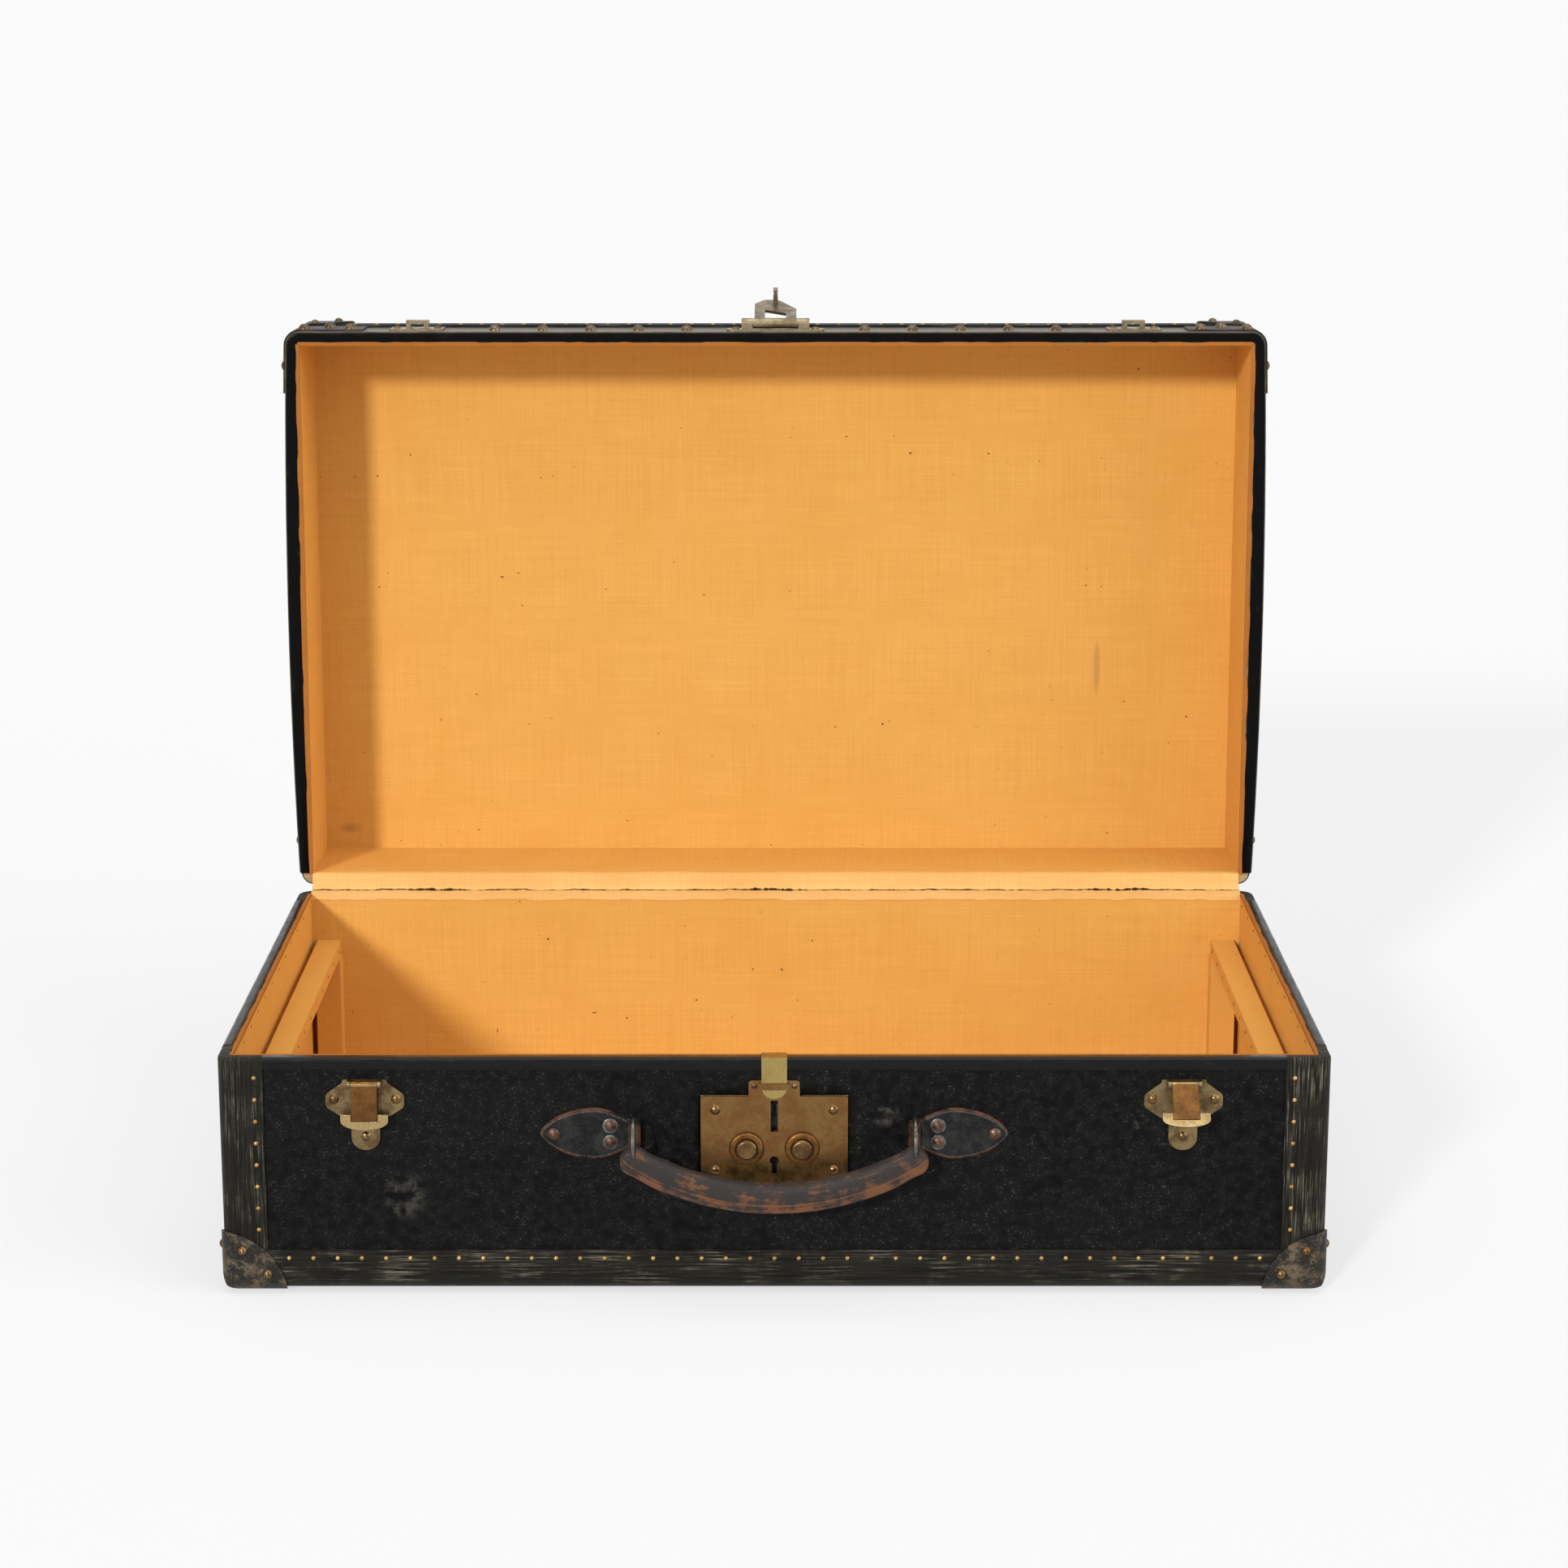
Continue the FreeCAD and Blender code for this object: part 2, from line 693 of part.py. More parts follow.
def make_tape(half):
    """Cloth tape over the back rim, turned down inside."""
    x = f"({HALF_X} - {LINING_IN})"
    inside = f"({HALF_Y} - {LINING_IN})"
    top = half.block("tape_top", f"-{x}", x, f"{inside} - tape_thickness", BACK_Y, "0", "binding_thickness")
    drop = half.block("tape_drop", f"-{x}", x, f"{inside} - tape_thickness", inside, "0", "tape_drop")
    finish(half, f"{half.name}_hinge_tape", fuse(f"{half.name}_tape", [top, drop]))


def corner_balls(half, name):
    """Balls about the outermost corners that give the caps their round edges."""
    balls = []
    for x_sign in "-+":
        for y_sign in "-+":
            side = "left" if x_sign == "-" else "right"
            end = "front" if y_sign == "-" else "back"
            ball = doc.addObject("Part::Sphere", f"{half.name}_{name}_{side}_{end}")
            bind(ball, Radius="cap_reach")
            move(ball, f"0 {x_sign} ({HALF_X} + cap_thickness)", f"0 {y_sign} ({HALF_Y} + cap_thickness)",
                 half.z(f"{half.depth} + cap_thickness"))
            balls.append(ball)
    return fuse(f"{half.name}_{name}", balls)


def cap_layer(half):
    """The space of the metal corners, just outside the trims."""
    outer = half.envelope("cap_form", "0 - cap_thickness", "guard_rim_distance")
    return cut(f"{half.name}_cap_layer", outer, [half.envelope("cap_inner", "0", "0")])


def make_base_caps():
    caps = common("base_caps", cap_layer(BASE), corner_balls(BASE, "cap_balls"))
    keep("base_corner_caps", caps)


def make_lid_caps():
    """Caps at the top corners and angle plates at the two front corners of the rim."""
    layer = cap_layer(LID)
    caps = common("lid_caps", layer, corner_balls(LID, "cap_balls"))
    out_x = f"({HALF_X} + lid_side_bow + cap_thickness + cut_overrun)"
    out_y = f"({HALF_Y} + cap_thickness + cut_overrun)"
    blocks = []
    for side, sign in (("left", "-"), ("right", "")):
        x0, x1 = sided(sign, f"{HALF_X} - guard_width", out_x)
        blocks.append(LID.block(f"guard_block_{side}", x0, x1, f"-{out_y}",
                                f"-({HALF_Y} - guard_side_width)",
                                "guard_rim_distance", "guard_rim_distance + guard_height"))
    guards = common("lid_guards", layer, fuse("lid_guard_blocks", blocks))
    finish(LID, "lid_corner_guards", group("lid_corner_metal", [caps, guards]))


# Fasteners of the trims


def lid_side(y, out):
    """Place and outward direction on the lid's bowed right side, a distance outside the trims."""
    bow = number("lid_side_bow")
    half_x, half_y = number(HALF_X), number(f"{HALF_Y} - corner_radius")
    radius = (bow ** 2 + half_y ** 2) / (2 * bow)
    centre = half_x + bow - radius
    lean = math.asin(y / (radius + out))
    return centre + (radius + out) * math.cos(lean), FreeCAD.Vector(math.cos(lean), math.sin(lean), 0)


def four_ways(places):
    """Mirror places (point, normal) left to right and front to back."""
    result = []
    for point, normal in places:
        for x_sign in (1, -1):
            for y_sign in (1, -1):
                result.append((
                    FreeCAD.Vector(point.x * x_sign, point.y * y_sign, point.z),
                    FreeCAD.Vector(normal.x * x_sign, normal.y * y_sign, normal.z),
                ))
    return result


def once(places):
    """Drop places that mirroring made twice."""
    kept = []
    for point, normal in places:
        if all((point - other).Length > 1e-3 for other, _ in kept):
            kept.append((point, normal))
    return kept


def side_place(half, y, z):
    """A place on the outside of a side wall's trims."""
    if half is LID:
        x, normal = lid_side(y, 0)
        return FreeCAD.Vector(x, y, z), normal
    return FreeCAD.Vector(number(HALF_X), y, z), FreeCAD.Vector(1, 0, 0)


def trim_nail_places(half):
    """Small nails along the edge strips and down the corner strips."""
    front_y = -number(HALF_Y)
    front = FreeCAD.Vector(0, -1, 0)
    edge = number("nail_edge_distance")
    pitch = number("nail_pitch")
    end = number("nail_end_distance")
    strip = number("strip_width")
    row_z = number(half.z(f"{half.depth} + nail_edge_distance - ring_strip_height"))
    last_x = number(f"{HALF_X} - cap_reach")
    last_y = number(f"{HALF_Y} - cap_reach")
    places = []
    for x in spread(0, last_x, pitch):
        places.append((FreeCAD.Vector(x, front_y, row_z), front))
    for y in spread(0, last_y, pitch):
        places.append(side_place(half, -y, row_z))
    guard = "guard_rim_distance + guard_height" if half is LID else "0"
    first = number(half.z(f"{guard} + nail_end_distance"))
    last = number(half.z(f"{half.depth} - cap_reach"))
    low, high = min(first, last), max(first, last)
    if high - low > end:
        column_x = number(HALF_X) - strip + edge
        column_y = -(number(HALF_Y) - strip + edge)
        for z in spread(low, high, pitch):
            places.append((FreeCAD.Vector(column_x, front_y, z), front))
            places.append(side_place(half, column_y, z))
    return once(four_ways(places))


def make_trim_nails(half):
    radius, rise = number("nail_radius"), number("nail_rise")
    heads = [head(point, normal, radius, rise) for point, normal in trim_nail_places(half)]
    if half is BASE:
        heads += lining_tacks()
    finish(half, f"{half.name}_trim_nails", feature(f"{half.name}_nails", Part.makeCompound(heads)))


def lining_tacks():
    """Small tacks along the tops of the side linings and on the tray rails."""
    radius, rise = number("tack_radius"), number("tack_rise")
    wall = number(f"{HALF_X} - {LINING_IN}")
    rail = number(f"{HALF_X} - {LINING_IN} - rail_wall_gap - rail_width")
    z = number("base_height - tack_rim_distance")
    rail_z = number(f"{RAIL_TOP} - rail_thickness / 2")
    reach = number(f"{HALF_Y} - {LINING_IN} - nail_end_distance")
    heads = []
    for y in spread(-reach, reach, number("tack_pitch")):
        for sign in (1, -1):
            inward = FreeCAD.Vector(-sign, 0, 0)
            heads.append(head(FreeCAD.Vector(sign * wall, y, z), inward, radius, rise))
            heads.append(head(FreeCAD.Vector(sign * rail, y, rail_z), inward, radius, rise))
    return heads


def make_base_cap_rivets():
    """Two rivets on each outer face of each cap."""
    near, far = number("cap_rivet_near"), number("cap_rivet_far")
    out_x, out_y = number(f"{HALF_X} + cap_thickness"), number(f"{HALF_Y} + cap_thickness")
    places = []
    for along, up in ((near, far), (far, near)):
        places.append((FreeCAD.Vector(out_x - along, -out_y, up), FreeCAD.Vector(0, -1, 0)))
        places.append((FreeCAD.Vector(out_x, -out_y + along, up), FreeCAD.Vector(1, 0, 0)))
    radius, rise = number("cap_rivet_radius"), number("cap_rivet_rise")
    heads = [head(point, normal, radius, rise) for point, normal in four_ways(places)]
    keep("base_cap_rivets", feature("base_cap_rivet_heads", Part.makeCompound(heads)))


def make_lid_studs():
    """Large domed nails: a row on the front strip, the caps, the guards and a few on the sides."""
    radius, rise = number("stud_radius"), number("stud_rise")
    small, small_rise = number("cap_rivet_radius"), number("cap_rivet_rise")
    cap = number("cap_thickness")
    front = FreeCAD.Vector(0, -1, 0)
    right = FreeCAD.Vector(1, 0, 0)
    y = -number(HALF_Y)
    row_z = number(LID.z("stud_rim_distance"))
    heads = []
    last = number(f"{LATCH_X} - stud_latch_distance")
    for x in spread(number("stud_first_place"), last, number("stud_pitch")):
        for sign in (1, -1):
            heads.append(head(FreeCAD.Vector(sign * x, y, row_z), front, radius, rise))
    heads += guard_studs(row_z, y - cap, radius, rise)
    heads += side_studs(y + number("side_stud_near"), row_z, radius, rise, -number("trim_thickness"))
    heads += side_studs(-y - number("side_stud_far"), row_z, radius, rise, 0)
    near, far = number("cap_rivet_near"), number("cap_rivet_far")
    top = number(LID.z("lid_height + cap_thickness"))
    out_x = number(f"{HALF_X} + cap_thickness")
    places = []
    for along, down in ((near, far), (far, near)):
        places.append((FreeCAD.Vector(out_x - along, y - cap, top - down), front))
        side_x, normal = lid_side(y - cap + along, cap)
        places.append((FreeCAD.Vector(side_x, y - cap + along, top - down), normal))
    heads += [head(point, normal, small, small_rise) for point, normal in four_ways(places)]
    finish(LID, "lid_studs", feature("lid_stud_heads", Part.makeCompound(heads)))


def side_studs(y, z, radius, rise, out):
    """The same large nail on both side walls, a distance outside the trims."""
    x, normal = lid_side(y, out)
    places = [(FreeCAD.Vector(x, y, z), normal)]
    places.append((FreeCAD.Vector(-x, y, z), FreeCAD.Vector(-normal.x, normal.y, 0)))
    return [head(point, direction, radius, rise) for point, direction in places]


def guard_studs(row_z, y, radius, rise):
    """Three large nails on the front of each rim guard and one on its side."""
    spread_x = number("guard_rivet_spread")
    middle = number(f"{HALF_X} - guard_width / 2 - cap_thickness")
    step = number("guard_rivet_step")
    heads = []
    for sign in (1, -1):
        for across, up in ((-spread_x, -step), (spread_x, -step), (0, step)):
            point = FreeCAD.Vector(sign * (middle + across), y, row_z + up)
            heads.append(head(point, FreeCAD.Vector(0, -1, 0), radius, rise))
        side_y = y + number("guard_side_stud")
        x, normal = lid_side(side_y, number("cap_thickness"))
        point = FreeCAD.Vector(sign * x, side_y, row_z)
        heads.append(head(point, FreeCAD.Vector(sign * normal.x, normal.y, 0), radius, rise))
    return heads


# Tray rails


def make_tray_rails():
    """A rail along each side on two posts, where a tray rests."""
    outer = f"({HALF_X} - {LINING_IN} - rail_wall_gap)"
    y = f"({HALF_Y} - {LINING_IN})"
    floor = BASE.z(f"{BASE.depth} - {LINING_IN}")
    low = f"({RAIL_TOP} - rail_thickness)"
    for side, sign in (("left", "-"), ("right", "")):
        across = sided(sign, f"({outer} - rail_width)", outer)
        rail = box(f"rail_{side}", *across, f"-{y}", y, low, RAIL_TOP)
        parts = [rail]
        for end, (y0, y1) in {"front": (f"-{y}", f"(post_depth - {y})"),
                              "back": (f"({y} - post_depth)", y)}.items():
            across = sided(sign, f"({outer} - post_width)", outer)
            parts.append(box(f"post_{side}_{end}", *across, y0, y1, floor, low))
        keep(f"tray_rail_{side}", group(f"tray_rail_{side}_group", parts))


# Lock


def make_lock_plate():
    """The face plate: slot for the staple, two button holes, keyhole and the bridge over the clip."""
    x, z = number("lock_width / 2"), number("lock_height / 2")
    tab_x, tab_top = number("lock_tab_width / 2"), number("lock_height / 2 + lock_tab_height")
    r = number("lock_corner")
    points = [(-x, -z, r), (x, -z, r), (x, z, r), (tab_x, z, 0), (tab_x, tab_top, r)]
    points += [(-tab_x, tab_top, r), (-tab_x, z, 0), (-x, z, r)]
    shank = number("rivet_shank_radius + pin_gap")
    circles = [(sx * number("lock_rivet_x"), sz * number("lock_rivet_z"), shank)
               for sx in (1, -1) for sz in (1, -1)]
    circles += [(sx * number("tab_rivet_x"), tab_rivet_up(), shank) for sx in (1, -1)]
    hole = number("button_stem_radius + pin_gap")
    circles += [(sx * number("button_x"), -number("button_drop"), hole) for sx in (1, -1)]
    slot_x = number("slot_width / 2")
    low, high = number("slot_low_rise"), number("slot_high_rise")
    slot = [(-slot_x, low, 0), (slot_x, low, 0), (slot_x, high, 0), (-slot_x, high, 0)]
    plate = body_on("lock_plate_sheet", "XZ_Plane", points, "plate_thickness", circles, holes=[slot])
    move(plate, "0", FACE_Y, LOCK_Z)
    front = f"({FACE_Y} - plate_thickness)"
    keyhole = rod("keyhole_round", "keyhole_radius", "plate_thickness + 2 * cut_overrun", "Y",
                  "0", f"{front} - cut_overrun", f"{LOCK_Z} - keyhole_drop")
    key_slot = box("keyhole_slot", "-keyhole_slot_width / 2", "keyhole_slot_width / 2",
                   f"{front} - cut_overrun", f"{FACE_Y} + cut_overrun",
                   f"{LOCK_Z} - keyhole_slot_drop", f"{LOCK_Z} - keyhole_drop")
    pierced = cut("lock_plate_pierced", plate, [keyhole, key_slot])
    foot_in = "(clip_width / 2 + bridge_gap)"
    foot_out = "(clip_width / 2 + bridge_gap + bridge_foot)"
    under = f"({front} - clip_thickness - bridge_gap)"
    top = f"({BRIDGE_LOW} + bridge_height)"
    feet = [
        box("bridge_foot_left", f"-{foot_out}", f"-{foot_in}", under, front, BRIDGE_LOW, top),
        box("bridge_foot_right", foot_in, foot_out, under, front, BRIDGE_LOW, top),
        box("bridge_bar_block", f"-{foot_out}", foot_out, f"{under} - bridge_bar", under, BRIDGE_LOW, top),
    ]
    keep("lock_plate", fuse("lock_plate_whole", [pierced] + feet))


def tab_rivet_up():
    """Height of the small tab rivets above the middle of the lock plate."""
    return number("lock_height / 2 + lock_tab_height - tab_rivet_edge_distance")


def make_lock_case():
    """A shallow tray behind the plate, with pads under the catches and the bolt."""
    x, z = "(case_width / 2)", "(case_height / 2)"
    back = f"({FACE_Y} + {CASE_DEPTH})"
    floor = f"({back} - case_wall)"
    outer = box("case_outer", f"-{x}", x, FACE_Y, back,
                f"{LOCK_Z} - {z}", f"{LOCK_Z} + {z}")
    inner = box("case_inner", f"-({x} - case_wall)", f"({x} - case_wall)", f"{FACE_Y} - cut_overrun", floor,
                f"{LOCK_Z} - {z} + case_wall", f"{LOCK_Z} + {z} - case_wall")
    tray = cut("case_tray", outer, [inner])
    catch_back = f"({FACE_Y} + catch_depth + pad_gap)"
    pads = []
    for side, sign in (("left", "-"), ("right", "")):
        x0, x1 = sided(sign, "catch_nose + catch_travel", "catch_nose + catch_length")
        pads.append(box(f"catch_pad_{side}", x0, x1, catch_back, floor,
                        f"{CATCH_LOW} + side_gap", f"{CATCH_LOW} + catch_height - side_gap"))
    pads.append(box("bolt_pad", "-bolt_width / 2 + bolt_height", "bolt_width / 2 - bolt_height",
                    catch_back, floor, f"{BOLT_LOW} + side_gap", f"{BOLT_LOW} + bolt_height - side_gap"))
    keep("lock_case", fuse("lock_case_whole", [tray] + pads))


def make_lock_buttons():
    """Domed push buttons, their collars on the plate and their springs in the case."""
    collars = []
    for side, sign in (("left", "-"), ("right", "")):
        x = f"{sign}button_x"
        face = f"({FACE_Y} - plate_thickness)"
        flange, stem = number("button_flange_radius"), number("button_stem_radius")
        back = -number("plate_thickness + pad_gap + button_flange_thickness")
        step = back + number("button_flange_thickness")
        stand, dome = number("button_travel + button_gap"), number("button_dome_radius")
        rise = number("button_dome_rise")
        soft = number("button_dome_edge")
        points = [(0, back, 0), (flange, back, 0), (flange, step, 0), (stem, step, 0), (stem, stand, 0)]
        points += [(dome, stand, 0), (dome, stand + rise, soft), (0, stand + rise, 0)]
        button = revolved_body(f"button_{side}_body", points)
        keep(f"lock_button_{side}", turned(button, x, face, BUTTON_Z, "90"))

        inner = number("button_dome_radius + collar_gap")
        outer, height = number("collar_radius"), number("collar_height")
        ring = [(inner, 0, 0), (outer, 0, 0), (outer, height, number("collar_edge")), (inner, height, 0)]
        collar = revolved_body(f"collar_{side}_body", ring)
        collars.append(turned(collar, x, face, BUTTON_Z, "90"))

        keep(f"lock_spring_{side}", make_spring(side, x))
    keep("lock_collars", group("lock_collar_pair", collars))


def make_spring(side, x):
    """A coil spring between the button's flange and the back of the case."""
    top = "(button_flange_thickness + pad_gap)"
    room = f"({CASE_DEPTH} - case_wall - {top})"
    spine = doc.addObject("Part::Helix", f"spring_{side}_line")
    height = f"({room} - spring_wire - 2 * pad_gap)"
    bind(spine, Radius="spring_radius", Height=height, Pitch=f"{height} / spring_turns")
    wire = doc.addObject("Part::Circle", f"spring_{side}_wire")
    bind(wire, Radius="spring_wire / 2")
    wire.Placement = FreeCAD.Placement(FreeCAD.Vector(), FreeCAD.Rotation(FreeCAD.Vector(1, 0, 0), 90))
    move(wire, "spring_radius", "0", "0")
    spring = doc.addObject("Part::Sweep", f"spring_{side}")
    spring.Sections = [wire]
    spring.Spine = (spine, [])
    spring.Solid = True
    spring.Frenet = True
    end = f"{FACE_Y} + {top} + pad_gap + spring_wire / 2 + {height}"
    return turned(spring, x, end, BUTTON_Z, "90")


def make_lock_catches():
    """Two catches that grip the staple, and the bolt that the key raises under them."""
    back = f"({FACE_Y} + catch_depth)"
    front = f"({back} - catch_thickness)"
    for side, sign in (("left", "-"), ("right", "")):
        bar = box(f"catch_bar_{side}", *sided(sign, "catch_nose", "catch_nose + catch_length"), front, back,
                  CATCH_LOW, f"{CATCH_LOW} + catch_height")
        arm_out = "catch_nose + catch_length"
        arm = box(f"catch_arm_{side}", *sided(sign, f"{arm_out} - catch_arm_width", arm_out), front, back,
                  f"{LOCK_Z} + catch_arm_rise", f"{CATCH_LOW} + catch_height")
        keep(f"lock_catch_{side}", fuse(f"lock_catch_{side}_whole", [bar, arm]))
    keep("lock_bolt", box("lock_bolt_bar", "-bolt_width / 2", "bolt_width / 2", front, back,
                          BOLT_LOW, f"{BOLT_LOW} + bolt_height"))


def make_lock_rivets():
    """Rivets of the lock plate and its tab."""
    y = number(f"{FACE_Y} - plate_thickness")
    middle = number(LOCK_Z)
    shank = (number("rivet_shank_radius"), number("plate_thickness"))
    out = FreeCAD.Vector(0, -1, 0)
    heads = []
    for sx in (1, -1):
        for sz in (1, -1):
            point = FreeCAD.Vector(sx * number("lock_rivet_x"), y, middle + sz * number("lock_rivet_z"))
            heads.append(head(point, out, number("lock_rivet_radius"), number("rivet_rise"), shank))
        point = FreeCAD.Vector(sx * number("tab_rivet_x"), y, middle + tab_rivet_up())
        heads.append(head(point, out, number("tab_rivet_radius"), number("nail_rise"), shank))
    keep("lock_rivets", feature("lock_rivet_heads", Part.makeCompound(heads)))


def make_rim_clip():
    """A brass strip folded over the front rim and held down by the lock's bridge."""
    x = number("clip_width / 2")
    low, high = number(f"{LOCK_Z} + clip_rise"), number("base_height")
    tongue = number("clip_tongue_radius")
    points = [(-x, low, tongue), (x, low, tongue), (x, high, 0), (-x, high, 0)]
    leg = body_on("clip_leg", "XZ_Plane", points, "clip_thickness")
    move(leg, "0", f"-{HALF_Y}", "0")
    inside = f"(-{HALF_Y} + {LINING_IN})"
    top = box("clip_top", "-clip_width / 2", "clip_width / 2", f"-{HALF_Y} - clip_thickness",
              f"{inside} + clip_thickness", "base_height", "base_height + clip_thickness")
    inner = box("clip_inner", "-clip_width / 2", "clip_width / 2", inside, f"{inside} + clip_thickness",
                "base_height - clip_inner_drop", "base_height")
    keep("rim_clip", fuse("rim_clip_whole", [leg, top, inner]))


# Side latches


def latch_outline():
    """Half of the shield outline is drawn and the other half mirrored."""
    top, top_x = number(LATCH_TOP), number("latch_top_width / 2")
    lobe_x, lobe_z, lobe_r = number("latch_lobe_x"), number(LATCH_LOBE_Z), number("latch_lobe_radius")
    foot_z, foot_r = number(LATCH_FOOT_Z), number("latch_foot_radius")
    shares = LATCH_SHARES
    right = [
        (top_x, top, number("latch_top_corner")),
        (top_x, lobe_z + lobe_r * shares["shoulder"], number("latch_shoulder_round")),
        (lobe_x + lobe_r, lobe_z + lobe_r * shares["lobe_top"], lobe_r * shares["lobe_round"]),
        (lobe_x + lobe_r, lobe_z - lobe_r, lobe_r * shares["lobe_round"]),
        (foot_r * shares["waist_across"], lobe_z - lobe_r * shares["waist_down"],
         number("latch_waist_round")),
        (foot_r, foot_z + foot_r, number("latch_shoulder_round")),
        (foot_r, foot_z - foot_r, foot_r * shares["foot_round"]),
    ]
    left = [(-x, z, r) for x, z, r in right]
    return left[::-1][:-1] + [left[0]] + right


def make_latch_plate(side, sign):
    """A shield-shaped plate with two lugs, and the lever's pin in them."""
    x = f"{sign}{LATCH_X}"
    shank = number("rivet_shank_radius + pin_gap")
    circles = [(sx * number("latch_lobe_x"), number(LATCH_LOBE_Z), shank) for sx in (1, -1)]
    circles.append((0, number(LATCH_FOOT_Z), shank))
    plate = body_on(f"latch_{side}_sheet", "XZ_Plane", latch_outline(), "plate_thickness", circles)
    move(plate, x, FACE_Y, "0")
    lug_in = "(latch_flap_width / 2 + side_gap)"
    front = f"({FACE_Y} - plate_thickness)"
    axis_y = f"({FACE_Y} - latch_axis_out)"
    parts = [plate]
    for end, (x0, shift) in {"near": (f"{x} + {lug_in}", ""),
                             "away": (f"{x} - {lug_in} - latch_lug_width", "")}.items():
        x1 = f"{x0} + latch_lug_width"
        parts.append(box(f"latch_{side}_lug_{end}", x0, x1, axis_y, front,
                         f"{LATCH_AXIS_Z} - latch_knuckle_radius", f"{LATCH_AXIS_Z} + latch_knuckle_radius"))
        parts.append(rod(f"latch_{side}_lug_round_{end}", "latch_knuckle_radius", "latch_lug_width", "X",
                         x0, axis_y, LATCH_AXIS_Z))
    bore = rod(f"latch_{side}_bore", "latch_pin_radius + pin_gap", "latch_ear_width", "X",
               f"{x} - latch_ear_width / 2", axis_y, LATCH_AXIS_Z)
    whole = cut(f"latch_{side}_plate_whole", fuse(f"latch_{side}_plate_parts", parts), [bore])
    half = f"({lug_in} + latch_lug_width)"
    pin = rod(f"latch_{side}_pin", "latch_pin_radius", f"2 * {half}", "X",
              f"{x} - {half}", axis_y, LATCH_AXIS_Z)
    keep(f"latch_{side}_plate", group(f"latch_{side}_plate_group", [whole, pin]))


def make_latch_lever(side, sign, tilt):
    """The flap with its knuckle, cross ears and finger tab, drawn about its pin."""
    half = "(latch_flap_width / 2)"
    thick = "(latch_flap_thickness / 2)"
    low = "(0 - latch_flap_length)"
    ear_low = "(0 - latch_ear_drop)"
    knuckle = rod(f"lever_{side}_knuckle", "latch_knuckle_radius", "latch_flap_width", "X",
                  f"-{half}", "0", "0")
    flap = box(f"lever_{side}_flap", f"-{half}", half, f"-{thick}", thick, low, "0")
    ears = box(f"lever_{side}_ears", "-latch_ear_width / 2", "latch_ear_width / 2", f"-{thick}", thick,
               ear_low, f"{ear_low} + latch_ear_height")
    tab = box(f"lever_{side}_tab", f"-{half}", half, f"-{thick}", thick, "-latch_tab_length", "0")
    turned(tab, f"-{half}", f"{thick} * (0 - cos(latch_tab_tilt)) - latch_tab_length * sin(latch_tab_tilt)",
           f"{low} - latch_tab_length * cos(latch_tab_tilt) + {thick} * sin(latch_tab_tilt)",
           "0 - latch_tab_tilt")
    bore = rod(f"lever_{side}_bore", "latch_pin_radius + pin_gap", "latch_ear_width", "X",
               "-latch_ear_width / 2", "0", "0")
    lever = cut(f"lever_{side}_whole", fuse(f"lever_{side}_parts", [knuckle, flap, ears, tab]), [bore])
    turned(lever, f"{sign}{LATCH_X}", f"{FACE_Y} - latch_axis_out", LATCH_AXIS_Z, f"0 - {tilt}")
    keep(f"latch_{side}_lever", lever)


def make_latches():
    rivets = []
    out = FreeCAD.Vector(0, -1, 0)
    y = number(f"{FACE_Y} - plate_thickness")
    shank = (number("rivet_shank_radius"), number("plate_thickness"))
    for side, sign, tilt in (("left", "-", "0"), ("right", "", "latch_right_tilt")):
        make_latch_plate(side, sign)
        make_latch_lever(side, sign, tilt)
        middle = number(f"{sign}{LATCH_X}")
        for across, up in ((-number("latch_lobe_x"), number(LATCH_LOBE_Z)),
                           (number("latch_lobe_x"), number(LATCH_LOBE_Z)),
                           (0, number(LATCH_FOOT_Z))):
            point = FreeCAD.Vector(middle + across, y, up)
            rivets.append(head(point, out, number("latch_rivet_radius"), number("rivet_rise"), shank))
    keep("latch_rivets", feature("latch_rivet_heads", Part.makeCompound(rivets)))


# Handle


def make_chape(side, sign):
    """The leather tab that is riveted to the front and folded round the ring."""
    flip = -1 if sign else 1
    length, wide, wide_x = number("chape_length"), number("chape_wide"), number("chape_wide_x")
    neck, neck_x = number("chape_neck"), number("chape_neck_x")
    start = number("chape_fold_height / 2")
    tip = number("chape_thickness")
    upper = [(0, start, 0), (neck_x, neck, number("chape_neck_round")), (wide_x, wide, wide)]
    upper.append((length, 0, tip))
    lower = [(x, -z, r) for x, z, r in upper[:-1]]
    points = [(flip * x, z, r) for x, z, r in upper + lower[::-1]]
    if flip > 0:
        points = points[::-1]
    shank = number("rivet_shank_radius + pin_gap")
    circles = [(flip * number("chape_rivet_out_x"), 0, shank)]
    circles += [(flip * number("chape_rivet_in_x"), s * number("chape_rivet_in_z"), shank) for s in (1, -1)]
    pad = body_on(f"chape_{side}_pad", "XZ_Plane", points, "chape_thickness", circles)
    x = f"{sign}ring_x"
    move(pad, x, FACE_Y, CHAPE_Z)
    fold = rod(f"chape_{side}_fold", "chape_fold_radius", "chape_fold_height", "Z",
               x, f"{FACE_Y} - chape_fold_radius", f"{CHAPE_Z} - chape_fold_height / 2")
    channel = ring_torus(f"chape_{side}_channel", "ring_wire_radius + ring_gap")
    move(channel, x, RING_Y, RING_Z)
    whole = fuse(f"chape_{side}_parts", [pad, fold])
    keep(f"handle_mount_{side}", cut(f"chape_{side}_whole", whole, [channel]))


def ring_torus(name, wire):
    """A ring standing in the plane across X."""
    ring = doc.addObject("Part::Torus", name)
    bind(ring, Radius1="ring_radius", Radius2=wire)
    ring.Placement = FreeCAD.Placement(FreeCAD.Vector(), FreeCAD.Rotation(FreeCAD.Vector(0, 1, 0), 90))
    return ring


